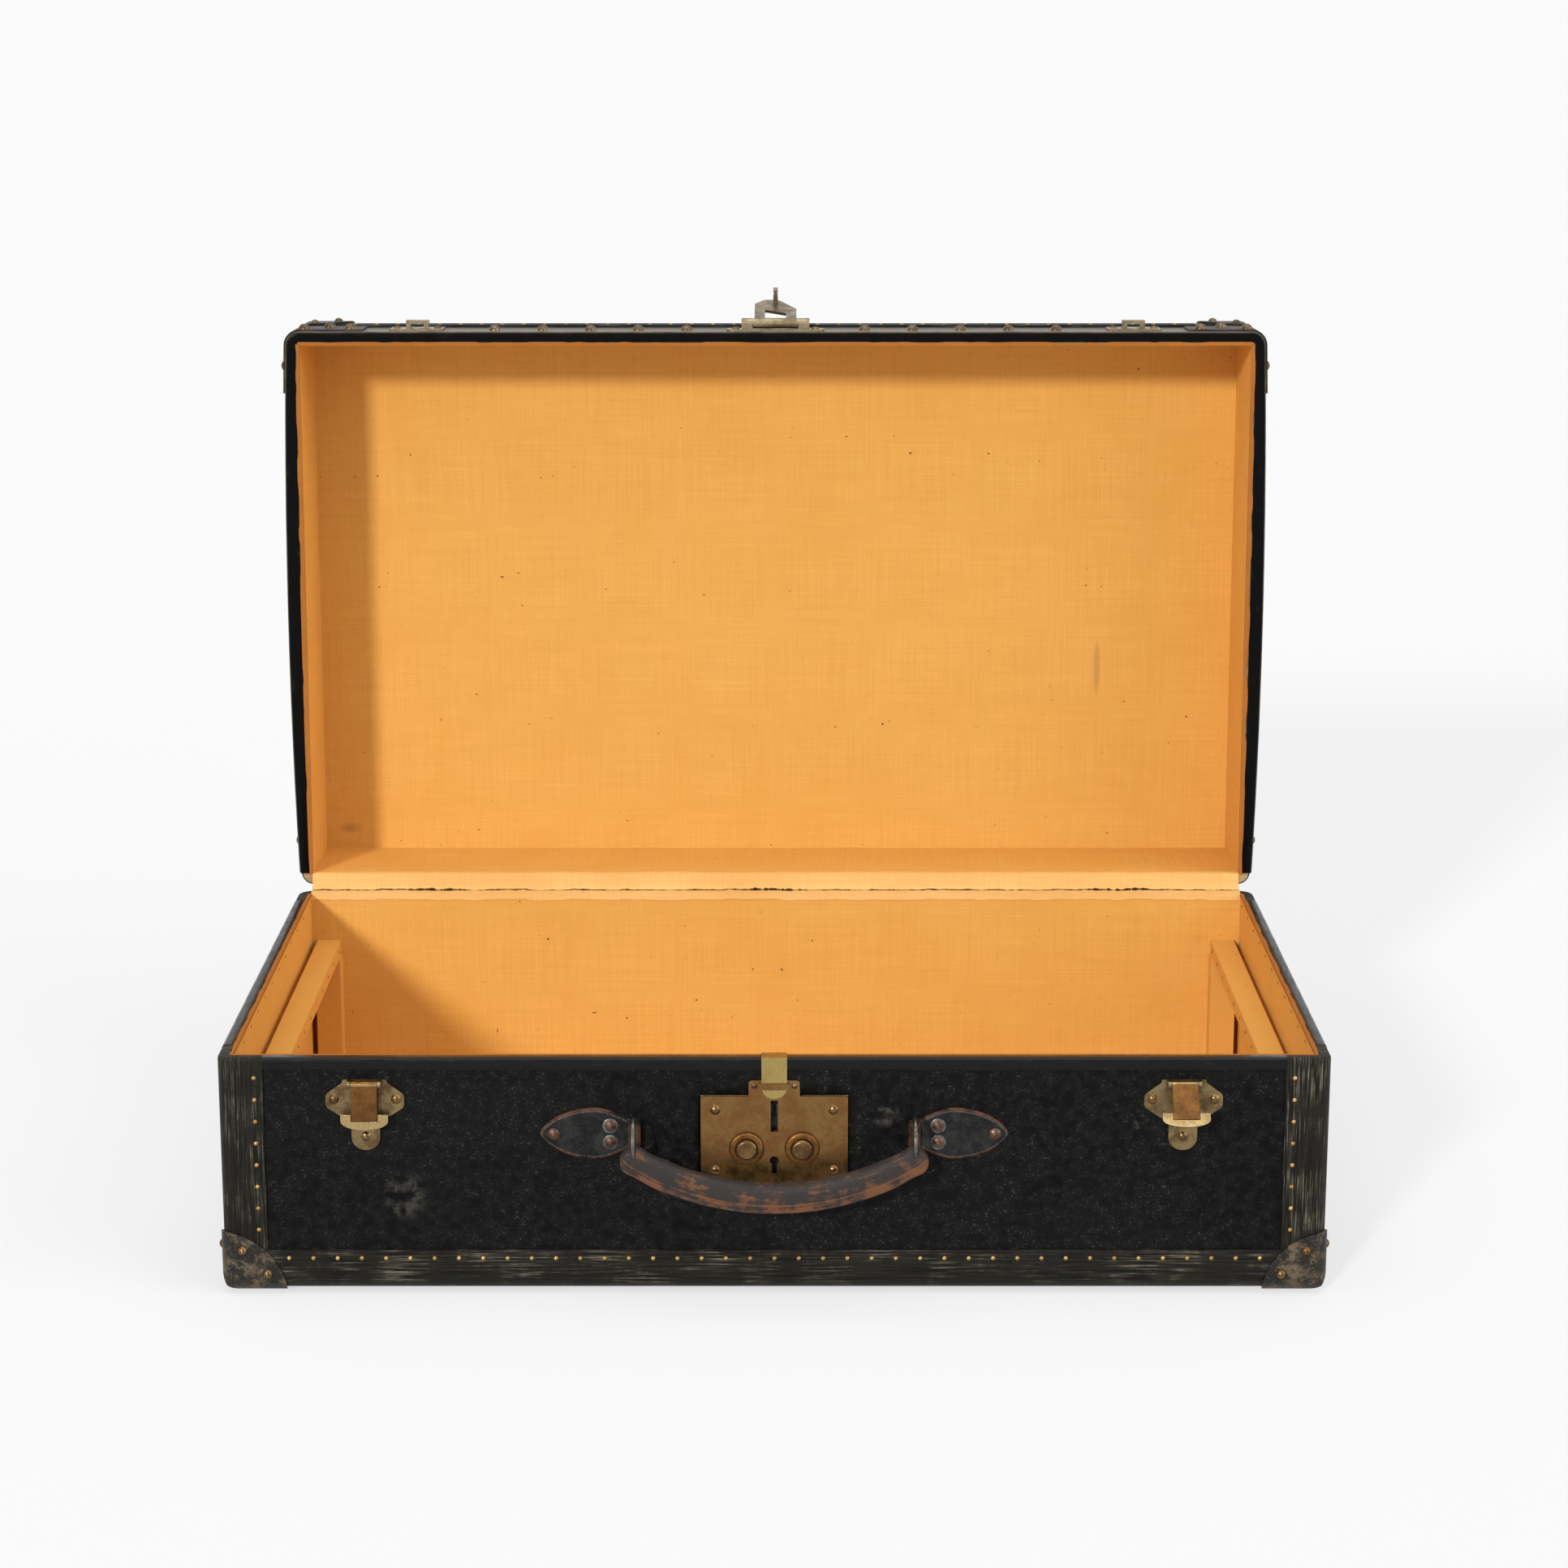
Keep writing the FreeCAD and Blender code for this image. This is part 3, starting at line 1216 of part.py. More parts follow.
def make_grip():
    """A sagging grip whose ends loop round the rings, drawn about the rings' axis."""
    radius = "((ring_x ^ 2 + grip_sag ^ 2) / (2 * grip_sag))"
    half_w, half_h, corner = number("grip_width / 2"), number("grip_height / 2"), number("grip_corner")
    level = -number(radius)
    points = [(-half_w, level - half_h, corner), (half_w, level - half_h, corner)]
    points += [(half_w, level + half_h, corner), (-half_w, level + half_h, corner)]
    bar = revolved_body("grip_bar", points, "YZ_Plane", "Y_Axis",
                       f"2 * asin((ring_x - grip_loop_overlap) / {radius})")
    drop_y = "(ring_radius * cos(grip_rest_angle))"
    drop_z = "(ring_radius * sin(grip_rest_angle))"
    move(bar, "0", f"-{drop_y}", f"{radius} - grip_sag - {drop_z}")
    parts = [bar]
    channels = []
    for side, sign in (("left", "-"), ("right", "")):
        loop = doc.addObject("Part::Cylinder", f"grip_loop_{side}")
        bind(loop, Radius="grip_loop_radius", Height="grip_loop_length")
        turned(loop, f"{sign}ring_x", f"sin(grip_rest_angle) * grip_loop_length / 2 - {drop_y}",
               f"0 - {drop_z} - cos(grip_rest_angle) * grip_loop_length / 2", "grip_rest_angle")
        parts.append(loop)
        channel = ring_torus(f"grip_channel_{side}", "ring_wire_radius + ring_gap")
        channels.append(move(channel, f"{sign}ring_x", "0", "0"))
    whole = fuse("grip_parts", parts)
    grip = cut("grip_whole", whole, channels)
    whole.Refine = False
    grip.Refine = False
    keep("handle_grip", move(grip, "0", RING_Y, RING_Z))


def make_handle():
    rivets = []
    out = FreeCAD.Vector(0, -1, 0)
    y = number(f"{FACE_Y} - chape_thickness")
    shank = (number("rivet_shank_radius"), number("chape_thickness"))
    for side, sign, flip in (("left", "-", -1), ("right", "", 1)):
        make_chape(side, sign)
        ring = ring_torus(f"ring_{side}", "ring_wire_radius")
        keep(f"handle_ring_{side}", move(ring, f"{sign}ring_x", RING_Y, RING_Z))
        middle = number(f"{sign}ring_x")
        for across, up in ((number("chape_rivet_out_x"), 0),
                           (number("chape_rivet_in_x"), number("chape_rivet_in_z")),
                           (number("chape_rivet_in_x"), -number("chape_rivet_in_z"))):
            point = FreeCAD.Vector(middle + flip * across, y, number(CHAPE_Z) + up)
            rivets.append(head(point, out, number("chape_rivet_radius"), number("rivet_rise"), shank))
    keep("handle_mount_rivets", feature("chape_rivet_heads", Part.makeCompound(rivets)))
    make_grip()


# Hinges


def make_leaf(name, place, base_side):
    """One leaf with its share of the knuckles, bored for the pin."""
    x0, x1 = f"{place} - hinge_width / 2", f"{place} + hinge_width / 2"
    inside = BACK_Y
    outside = f"({BACK_Y} + hinge_leaf_thickness)"
    clear = "(hinge_barrel_radius + hinge_gap)"
    gap_low, gap_high = f"({HINGE_Z} - {clear})", f"({HINGE_Z} + {clear})"
    if base_side:
        low, high = f"({HINGE_Z} - hinge_leaf_height)", HINGE_Z
    else:
        low, high = HINGE_Z, f"({HINGE_Z} + hinge_leaf_height)"
    leaf = box(f"{name}_sheet", x0, x1, inside, outside, low, high)
    barrel = rod(f"{name}_barrel", "hinge_barrel_radius", "hinge_width", "X", x0, HINGE_Y, HINGE_Z)
    solid = fuse(f"{name}_solid", [leaf, barrel])
    half = "(hinge_lid_knuckle / 2)"
    if base_side:
        gaps = [(f"{place} - {half} - hinge_gap", f"{place} + {half} + hinge_gap")]
    else:
        gaps = [(f"{x0} - cut_overrun", f"{place} - {half}"), (f"{place} + {half}", f"{x1} + cut_overrun")]
    tools = []
    for i, (a, b) in enumerate(gaps):
        tools.append(box(f"{name}_gap_{i}", a, b, f"{inside} - cut_overrun", f"{HINGE_Y} + {clear}",
                         gap_low, gap_high))
    tools.append(rod(f"{name}_bore", "hinge_pin_radius + pin_gap", "hinge_width + 2 * cut_overrun", "X",
                     f"{x0} - cut_overrun", HINGE_Y, HINGE_Z))
    sign = "-" if base_side else "+"
    for i, side in enumerate("-+"):
        tools.append(rod(f"{name}_hole_{i}", "rivet_shank_radius + pin_gap",
                         "hinge_leaf_thickness + 2 * cut_overrun", "Y",
                         f"{place} {side} hinge_rivet_x", f"{inside} - cut_overrun",
                         f"{HINGE_Z} {sign} hinge_rivet_z"))
    return cut(name, solid, tools)


def make_hinges():
    """Three hinges on the back, each two leaves, a pin and four rivets."""
    places = (f"-{HINGE_X}", "0", HINGE_X)
    base_leaves, lid_leaves, pins, base_rivets, lid_rivets = [], [], [], [], []
    y = number(f"{BACK_Y} + hinge_leaf_thickness")
    shank = (number("rivet_shank_radius"), number("hinge_leaf_thickness"))
    out = FreeCAD.Vector(0, 1, 0)
    for i, place in enumerate(places):
        base_leaves.append(make_leaf(f"base_leaf_{i}", place, True))
        lid_leaves.append(make_leaf(f"lid_leaf_{i}", place, False))
        pins.append(rod(f"hinge_pin_{i}", "hinge_pin_radius", "hinge_width", "X",
                        f"{place} - hinge_width / 2", HINGE_Y, HINGE_Z))
        for rivets, sign in ((base_rivets, -1), (lid_rivets, 1)):
            for side in (1, -1):
                point = FreeCAD.Vector(number(place) + side * number("hinge_rivet_x"), y,
                                       number(HINGE_Z) + sign * number("hinge_rivet_z"))
                rivets.append(head(point, out, number("hinge_rivet_radius"), number("nail_rise"), shank))
    keep("hinge_base_leaves", group("base_leaf_group", base_leaves))
    finish(LID, "hinge_lid_leaves", group("lid_leaf_group", lid_leaves))
    keep("hinge_pins", group("hinge_pin_group", pins))
    keep("hinge_rivets", feature("base_hinge_rivets", Part.makeCompound(base_rivets)))
    return lid_rivets


# Hasp, its plate, and the catches on the lid


def make_hasp_plate():
    """The plate on the lid's front, its two lugs and the pin that the hasp turns on."""
    outer = f"({FACE_Y} - trim_thickness)"
    x, r = number("hasp_plate_width / 2"), number("hasp_plate_corner")
    height = number("hasp_plate_height")
    points = [(-x, 0, r), (x, 0, r), (x, height, r), (-x, height, r)]
    shank = number("rivet_shank_radius + pin_gap")
    circles = [(s * number("hasp_rivet_x"), height / 2, shank) for s in (1, -1)]
    plate = body_on("hasp_plate_sheet", "XZ_Plane", points, "plate_thickness", circles)
    low = LID.z("hasp_plate_rim_distance")
    move(plate, "0", outer, low)
    axis_y, axis_z = f"({FACE_Y} - {HASP_OUT})", LID.z("hasp_axis_rim_distance")
    front = f"({outer} - plate_thickness)"
    lug_in = "(hasp_barrel_length / 2 + side_gap)"
    lug = f"(hasp_lug_span / 2 - {lug_in})"
    parts = [plate]
    for side, x0 in (("left", "(0 - hasp_lug_span / 2)"), ("right", lug_in)):
        parts.append(box(f"hasp_lug_{side}", x0, f"{x0} + {lug}", axis_y, front,
                         f"{axis_z} - hasp_barrel_radius", f"{axis_z} + hasp_barrel_radius"))
        parts.append(rod(f"hasp_lug_round_{side}", "hasp_barrel_radius", lug, "X", x0, axis_y, axis_z))
    bore = rod("hasp_lug_bore", "hasp_pin_radius + pin_gap", "hasp_lug_span + 2 * cut_overrun", "X",
               "0 - hasp_lug_span / 2 - cut_overrun", axis_y, axis_z)
    whole = cut("hasp_plate_whole", fuse("hasp_plate_parts", parts), [bore])
    pin = rod("hasp_pin", "hasp_pin_radius", "hasp_lug_span", "X", "0 - hasp_lug_span / 2", axis_y, axis_z)
    finish(LID, "hasp_plate", group("hasp_plate_group", [whole, pin]))


def make_hasp():
    """The hasp drawn hanging shut from its barrel: an open loop with the staple on its inner face."""
    x, length = number("hasp_width / 2"), number("hasp_length")
    short = number("hasp_short_side")
    r = number("hasp_barrel_radius")
    shares = HASP_SHARES
    points = [(-x, 0, 0), (-x, -length * shares["side_down"], r), (-x * shares["tip_left"], -length, r)]
    points += [(x * shares["tip_right"], -length, r), (x, -short - r, r), (x, 0, 0)]
    win, bend = number("hasp_window_half"), number("hasp_window_corner")
    top, left, right = (number(f"hasp_window_{name}") for name in ("low", "left", "right"))
    window = [(-win, -top, 0), (win, -top, 0), (win, -right, bend), (-win, -left, bend)]
    sheet_body = body_on("hasp_sheet", "XZ_Plane", points[::-1], "hasp_thickness",
                         offset="0 - hasp_set_in - hasp_thickness", holes=[window])
    inner = "(hasp_set_in + hasp_thickness)"
    barrel = rod("hasp_barrel", "hasp_barrel_radius", "hasp_barrel_length", "X",
                 "0 - hasp_barrel_length / 2", "0", "0")
    staple = box("hasp_staple", "0 - staple_width / 2", "staple_width / 2", inner,
                 f"{inner} + staple_reach", f"0 - {STAPLE_BOTTOM}", f"0 - {STAPLE_TOP}")
    bore = rod("hasp_bore", "hasp_pin_radius + pin_gap", "hasp_lug_span", "X",
               "0 - hasp_lug_span / 2", "0", "0")
    notch_far = f"({HASP_OUT} + catch_depth + staple_notch_gap)"
    notch_near = f"({HASP_OUT} + catch_depth - catch_thickness - staple_notch_gap)"
    tools = [bore]
    for side, (x0, x1) in {
        "left": ("0 - staple_width", "staple_notch_depth - staple_width / 2"),
        "right": ("staple_width / 2 - staple_notch_depth", "staple_width"),
    }.items():
        tools.append(box(f"staple_notch_{side}", x0, x1, notch_near, notch_far,
                         f"0 - {STAPLE_BOTTOM} - cut_overrun", f"0 - {STAPLE_TOP} + cut_overrun"))
    hasp = cut("hasp_whole", fuse("hasp_parts", [sheet_body, barrel, staple]), tools)
    on_open_lid(hasp, "0", f"({FACE_Y} - {HASP_OUT})", LID.z("hasp_axis_rim_distance"), "hasp_rest_swing")
    keep("hasp", hasp)


def make_lid_catches():
    """Plates on the lid with a raised loop block for the side latches."""
    outer = f"({FACE_Y} - trim_thickness)"
    front = f"({outer} - plate_thickness)"
    shank = number("rivet_shank_radius + pin_gap")
    x, height, r = number("lid_catch_width / 2"), number("lid_catch_height"), number("lock_corner")
    points = [(-x, 0, r), (x, 0, r), (x, height, r), (-x, height, r)]
    circles = [(s * number("lid_catch_rivet_x"), height / 2, shank) for s in (1, -1)]
    catches = []
    for side, sign in (("left", "-"), ("right", "")):
        place = f"{sign}{LATCH_X}"
        plate = body_on(f"lid_catch_{side}_sheet", "XZ_Plane", points, "plate_thickness", circles)
        move(plate, place, outer, LID.z("lid_catch_rim_distance"))
        half = "(lid_catch_block_width / 2)"
        low = LID.z("lid_catch_block_low")
        high = LID.z("lid_catch_block_low + lid_catch_block_height")
        block = box(f"lid_catch_{side}_block", f"{place} - {half}", f"{place} + {half}",
                    f"{front} - lid_catch_block_rise", front, low, high)
        share = "lid_catch_window_share"
        window = box(f"lid_catch_{side}_window", f"{place} - {half} * {share}", f"{place} + {half} * {share}",
                     f"{front} - lid_catch_block_rise * {share}", front,
                     f"{low} - cut_overrun", f"{high} + cut_overrun")
        block = cut(f"lid_catch_{side}_loop", block, [window])
        catches.append(fuse(f"lid_catch_{side}", [plate, block]))
    finish(LID, "lid_catches", group("lid_catch_pair", catches))


def make_lid_rivets(hinge_rivets):
    """Rivets of the hasp plate, the lid's catches and the lid's hinge leaves."""
    y = number(f"{FACE_Y} - trim_thickness - plate_thickness")
    out = FreeCAD.Vector(0, -1, 0)
    radius, rise = number("lock_rivet_radius"), number("rivet_rise")
    shank = (number("rivet_shank_radius"), number("plate_thickness"))
    heads = list(hinge_rivets)
    hasp_z = number(LID.z("hasp_plate_rim_distance + hasp_plate_height / 2"))
    catch_z = number(LID.z("lid_catch_rim_distance + lid_catch_height / 2"))
    for side in (1, -1):
        point = FreeCAD.Vector(side * number("hasp_rivet_x"), y, hasp_z)
        heads.append(head(point, out, radius, rise, shank))
        for across in (1, -1):
            x = side * number(LATCH_X) + across * number("lid_catch_rivet_x")
            heads.append(head(FreeCAD.Vector(x, y, catch_z), out, radius, rise, shank))
    finish(LID, "lid_hardware_rivets", feature("lid_rivet_heads", Part.makeCompound(heads)))


def make_half(half):
    board_form = make_boards(half)
    cover_form = make_covering(half, board_form)
    make_lining(half)
    make_trims(half, trim_layer(half, cover_form))
    make_tape(half)
    make_trim_nails(half)


def write_parts():
    """Check every object and every piece, then write one file for each node."""
    doc.recompute()
    for obj in doc.Objects:
        if "Invalid" in obj.State or "Error" in obj.State:
            raise RuntimeError(f"{obj.Name} failed: {obj.State}")
    os.makedirs("parts", exist_ok=True)
    for obj in PIECES:
        if obj.Shape.isNull() or not obj.Shape.isValid() or not obj.Shape.Solids:
            raise RuntimeError(f"{obj.Label} has no valid solid")
        obj.Shape.exportStep(f"parts/{obj.Label}.step")
        print(f"{obj.Label}: {len(obj.Shape.Solids)} solids, {obj.Shape.Volume:.0f} mm3")
    print(f"{len(PIECES)} nodes")


make_half(BASE)
make_half(LID)
make_base_caps()
make_lid_caps()
make_base_cap_rivets()
make_lid_studs()
make_tray_rails()
make_lock_plate()
make_lock_case()
make_lock_buttons()
make_lock_catches()
make_lock_rivets()
make_rim_clip()
make_latches()
make_handle()
make_lid_rivets(make_hinges())
make_hasp_plate()
make_hasp()
make_lid_catches()
write_parts()
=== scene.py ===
import json
import math
import random

import bpy
import bmesh
from mathutils import Matrix, Vector, noise


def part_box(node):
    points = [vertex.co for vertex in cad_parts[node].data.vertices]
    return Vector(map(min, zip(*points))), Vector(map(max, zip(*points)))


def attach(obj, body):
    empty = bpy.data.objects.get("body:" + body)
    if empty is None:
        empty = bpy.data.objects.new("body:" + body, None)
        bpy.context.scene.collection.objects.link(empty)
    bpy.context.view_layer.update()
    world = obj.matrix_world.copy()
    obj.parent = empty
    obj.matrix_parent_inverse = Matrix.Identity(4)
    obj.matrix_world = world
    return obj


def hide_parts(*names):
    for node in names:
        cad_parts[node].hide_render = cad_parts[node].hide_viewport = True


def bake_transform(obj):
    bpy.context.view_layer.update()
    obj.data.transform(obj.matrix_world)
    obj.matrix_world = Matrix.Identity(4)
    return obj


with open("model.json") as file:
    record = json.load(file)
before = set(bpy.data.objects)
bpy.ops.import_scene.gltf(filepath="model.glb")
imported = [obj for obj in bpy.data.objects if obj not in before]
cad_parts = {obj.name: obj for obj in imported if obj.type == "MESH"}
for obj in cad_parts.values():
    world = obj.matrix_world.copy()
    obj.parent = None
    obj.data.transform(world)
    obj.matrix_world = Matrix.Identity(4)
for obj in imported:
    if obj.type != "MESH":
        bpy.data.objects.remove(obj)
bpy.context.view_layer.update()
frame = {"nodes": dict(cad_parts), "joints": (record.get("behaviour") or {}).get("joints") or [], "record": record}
MM = 0.001
NODES = frame["nodes"]
JOINTS = {joint["name"]: joint for joint in frame["joints"]}

# The lid is drawn shut and turned open about its hinge
HINGE = Vector(JOINTS["lid_hinge"]["pos_m"])
OPEN_ANGLE = math.radians(JOINTS["lid_hinge"]["range_deg"][1])
OPEN = Matrix.Translation(HINGE) @ Matrix.Rotation(-OPEN_ANGLE, 4, "X") @ Matrix.Translation(-HINGE)


def shut_box(node):
    """Lowest and highest corner of a lid node with the lid shut."""
    back = OPEN.inverted()
    points = [back @ vertex.co for vertex in NODES[node].data.vertices]
    return (Vector(min(p[i] for p in points) for i in range(3)),
            Vector(max(p[i] for p in points) for i in range(3)))


# Wall layers, from the trims' outside inwards
TRIM = 1.5 * MM
COVER = 0.8 * MM
BOARD = 6.5 * MM
LINING = 0.6 * MM
BOARD_OUT = TRIM + COVER
BOARD_IN = BOARD_OUT + BOARD
WALL = BOARD_IN + LINING

# The rim: the binding's thickness, its depth down the wall and its roll, and the lining's lip over it
BINDING = 1.0 * MM
BAND = 7.5 * MM
ROLL = 2.2 * MM
LIP = 2.2 * MM

# Roundings of the plan and of the far edges, and how far the fibre strips reach round them
CORNER = 10 * MM
LEAST_CORNER = 0.3 * MM
EDGE = 13.5 * MM
STRIP = 29 * MM
RING_HEIGHT = 28.4 * MM
FRONT_STRIP = 26 * MM

# The hinge tape: how far it reaches down the walls, how far its crease stands off the hinge,
# and where the painted shade of its crease and ragged gap lies across and along it
TAPE_DROP = 4.5 * MM
TAPE_CREASE = 3.2 * MM
TAPE_SEAM = TAPE_DROP + WALL - TRIM + 0.2 * MM
SEAM_HOLES = (-0.250, 0.0, 0.251)

# A chape's thickness, its two inner rivets, from the ring and from the middle line, and the
# fold round the ring: its distance out from the wall, half height and radius
CHAPE = 3.0 * MM
RIVET_IN = 15 * MM
RIVET_UP = 5.4 * MM
FOLD_OUT, FOLD_HALF, FOLD_RADIUS = 4.2 * MM, 8.5 * MM, 4.1 * MM

# The grip: its girth, half height and half width in the middle, what its ends lose of both,
# its sag below the rings and how far its ends fold round them; the rings' wire and lean at rest
GRIP_ROUND = 60 * MM
GRIP_HIGH, GRIP_WIDE, GRIP_TAPER = 9.4 * MM, 6.4 * MM, 1.0 * MM
GRIP_SAG = 25 * MM
GRIP_FOLD = 8 * MM
WIRE = 1.5 * MM
RING_LEAN = math.radians(60)

# A lining panel: its step, the calm along its edges, its lift off the board, the length
# and height of its waves, and a blister's half width, half height and rise, least and most
PANEL_STEP, PANEL_CALM, PANEL_LIFT = 5 * MM, 15 * MM, 0.2 * MM
PANEL_WAVES = ((70 * MM, 0.5 * MM), (14 * MM, 0.12 * MM))
BLISTER = ((2 * MM, 6 * MM), (1.5 * MM, 4 * MM), (0.5 * MM, 1.3 * MM))

# Wanders of cut edges, the tape's crease and the worn grip: a wave's length and height
FRINGE = (9 * MM, 0.5 * MM)
SWAY = (11 * MM, 1.2 * MM)
TAPE_FRAY = (9 * MM, 1.0 * MM)
TAPE_LIFT = (14 * MM, 0.5 * MM)
RAW_EDGE = (12 * MM, 0.5 * MM)
GRIP_RUB = (6 * MM, 0.25 * MM)

BOW = 3.4 * MM          # how far the lid's sides swell at their middle
STEP = 8 * MM           # the meshes' step along a wall
SHARP = math.radians(40)

# Light: what the camera sees of the backdrop and the floor, the world's level, and for each
# sun its strength, spread, degrees to the left of the camera's side and degrees up
BACKDROP = 0.957
FLOOR_GLOW = 0.625
AMBIENT = 0.33
SUNS = {
    "key": (2.1, 7, 25, 21),
    "fill": (1.15, 50, -65, 25),
    "sky": (1.25, 60, 0, 84),
}

CAMERA_PLACE = (0.0061, -2.3598, 0.8457)
CAMERA_DOWN = 13.35
CAMERA_LENS = 82.8


class Half:
    """The base or the lid: depths are measured from its rim outwards, insets from the trims inwards."""

    def __init__(self, body, covering, box, side, bow):
        low, high = box
        self.body = body
        self.covering = covering
        self.half_y = high.y + TRIM
        self.half_x = high.x + TRIM - bow
        self.bow = bow
        self.side = side
        far, rim = (low.z, high.z) if side < 0 else (high.z, low.z)
        self.rim = rim - side * BINDING
        self.depth = abs(far - self.rim) + TRIM

    def z(self, depth):
        return self.rim + self.side * depth

    def point(self, station, inset, depth, corner=CORNER):
        """The point of the wall at a station of the plan, an inset and a depth."""
        kind, side, share = station
        radius = max(corner - inset, LEAST_CORNER)
        x, y = self.half_x - inset - radius, self.half_y - inset - radius
        centres = [Vector(centre) for centre in ((x, -y), (x, y), (-x, y), (-x, -y))]
        if kind == "corner":
            centre, turn = centres[side], side - 1 + share
        else:
            centre, turn = centres[side - 1].lerp(centres[side], share), side - 1
        angle = math.radians(90 * turn)
        x, y = centre + radius * Vector((math.cos(angle), math.sin(angle)))
        if self.bow and side in (1, 3) and kind == "side":
            fade = 1 - min(max((inset - BOARD_OUT) / BOARD, 0), 1)
            flat = self.half_y - max(corner, inset)
            x += math.copysign(self.bow * fade * max(0, 1 - (y / flat) ** 2), x)
        return Vector((x, y, self.z(depth)))

    def stations(self, side, low=0, high=1):
        """Even stations along one side of the plan."""
        length = 2 * (self.half_x if side in (0, 2) else self.half_y) * (high - low)
        steps = max(1, round(length / STEP))
        return [("side", side, low + (high - low) * i / steps) for i in range(steps + 1)]

    def bend(self, side, steps=8):
        """Stations round the corner that follows a side."""
        return [("corner", side, i / steps) for i in range(steps + 1)]

    def share_at(self, side, distance):
        """The share along a side that lies a distance from the outer corner."""
        length = 2 * ((self.half_x if side in (0, 2) else self.half_y) - CORNER)
        return (distance - CORNER) / length

    def around(self):
        loop = []
        for side in range(4):
            loop += self.stations(side)[:-1] + self.bend(side)[:-1]
        return loop


BASE = Half("base", "base_covering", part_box("base_covering"), -1, 0)
LID = Half("lid", "lid_covering", shut_box("lid_covering"), 1, BOW)


def wobble(place, seed, scale, size):
    """A smooth wander along a length, the same each run."""
    return noise.noise(Vector((place / scale, seed * 7.3, 0.5))) * size


# Rubbed places on the front: where, how far they reach and how strong they are
FACE = BASE.half_y - TRIM
SCUFFS = (
    ((-0.233, -FACE, 0.066), (16 * MM, 6 * MM, 18 * MM), 0.5),
    ((0.231, -FACE, 0.112), (7 * MM, 6 * MM, 9 * MM), 0.8),
    ((-0.062, -FACE, 0.075), (14 * MM, 6 * MM, 20 * MM), 0.35),
    ((0.070, -FACE, 0.120), (12 * MM, 6 * MM, 10 * MM), 0.55),
)

# Marks on the lining: a grey streak on the lid's panel and a stain low on its left wall
MARKS = (
    ((0.241, 0.30, 0.305), (3 * MM, 60 * MM, 26 * MM), 0.3),
    ((-0.322, 0.26, 0.182), (14 * MM, 60 * MM, 6 * MM), 0.5),
)

# Material nodes


def link(tree, value, socket):
    """A value or another node's output on a socket."""
    if isinstance(value, bpy.types.NodeSocket):
        tree.links.new(value, socket)
    else:
        socket.default_value = value


def add_node(tree, kind, values=None):
    """A new node, with values or links on its inputs."""
    node = tree.nodes.new(kind)
    for key, value in (values or {}).items():
        link(tree, value, node.inputs[key])
    return node


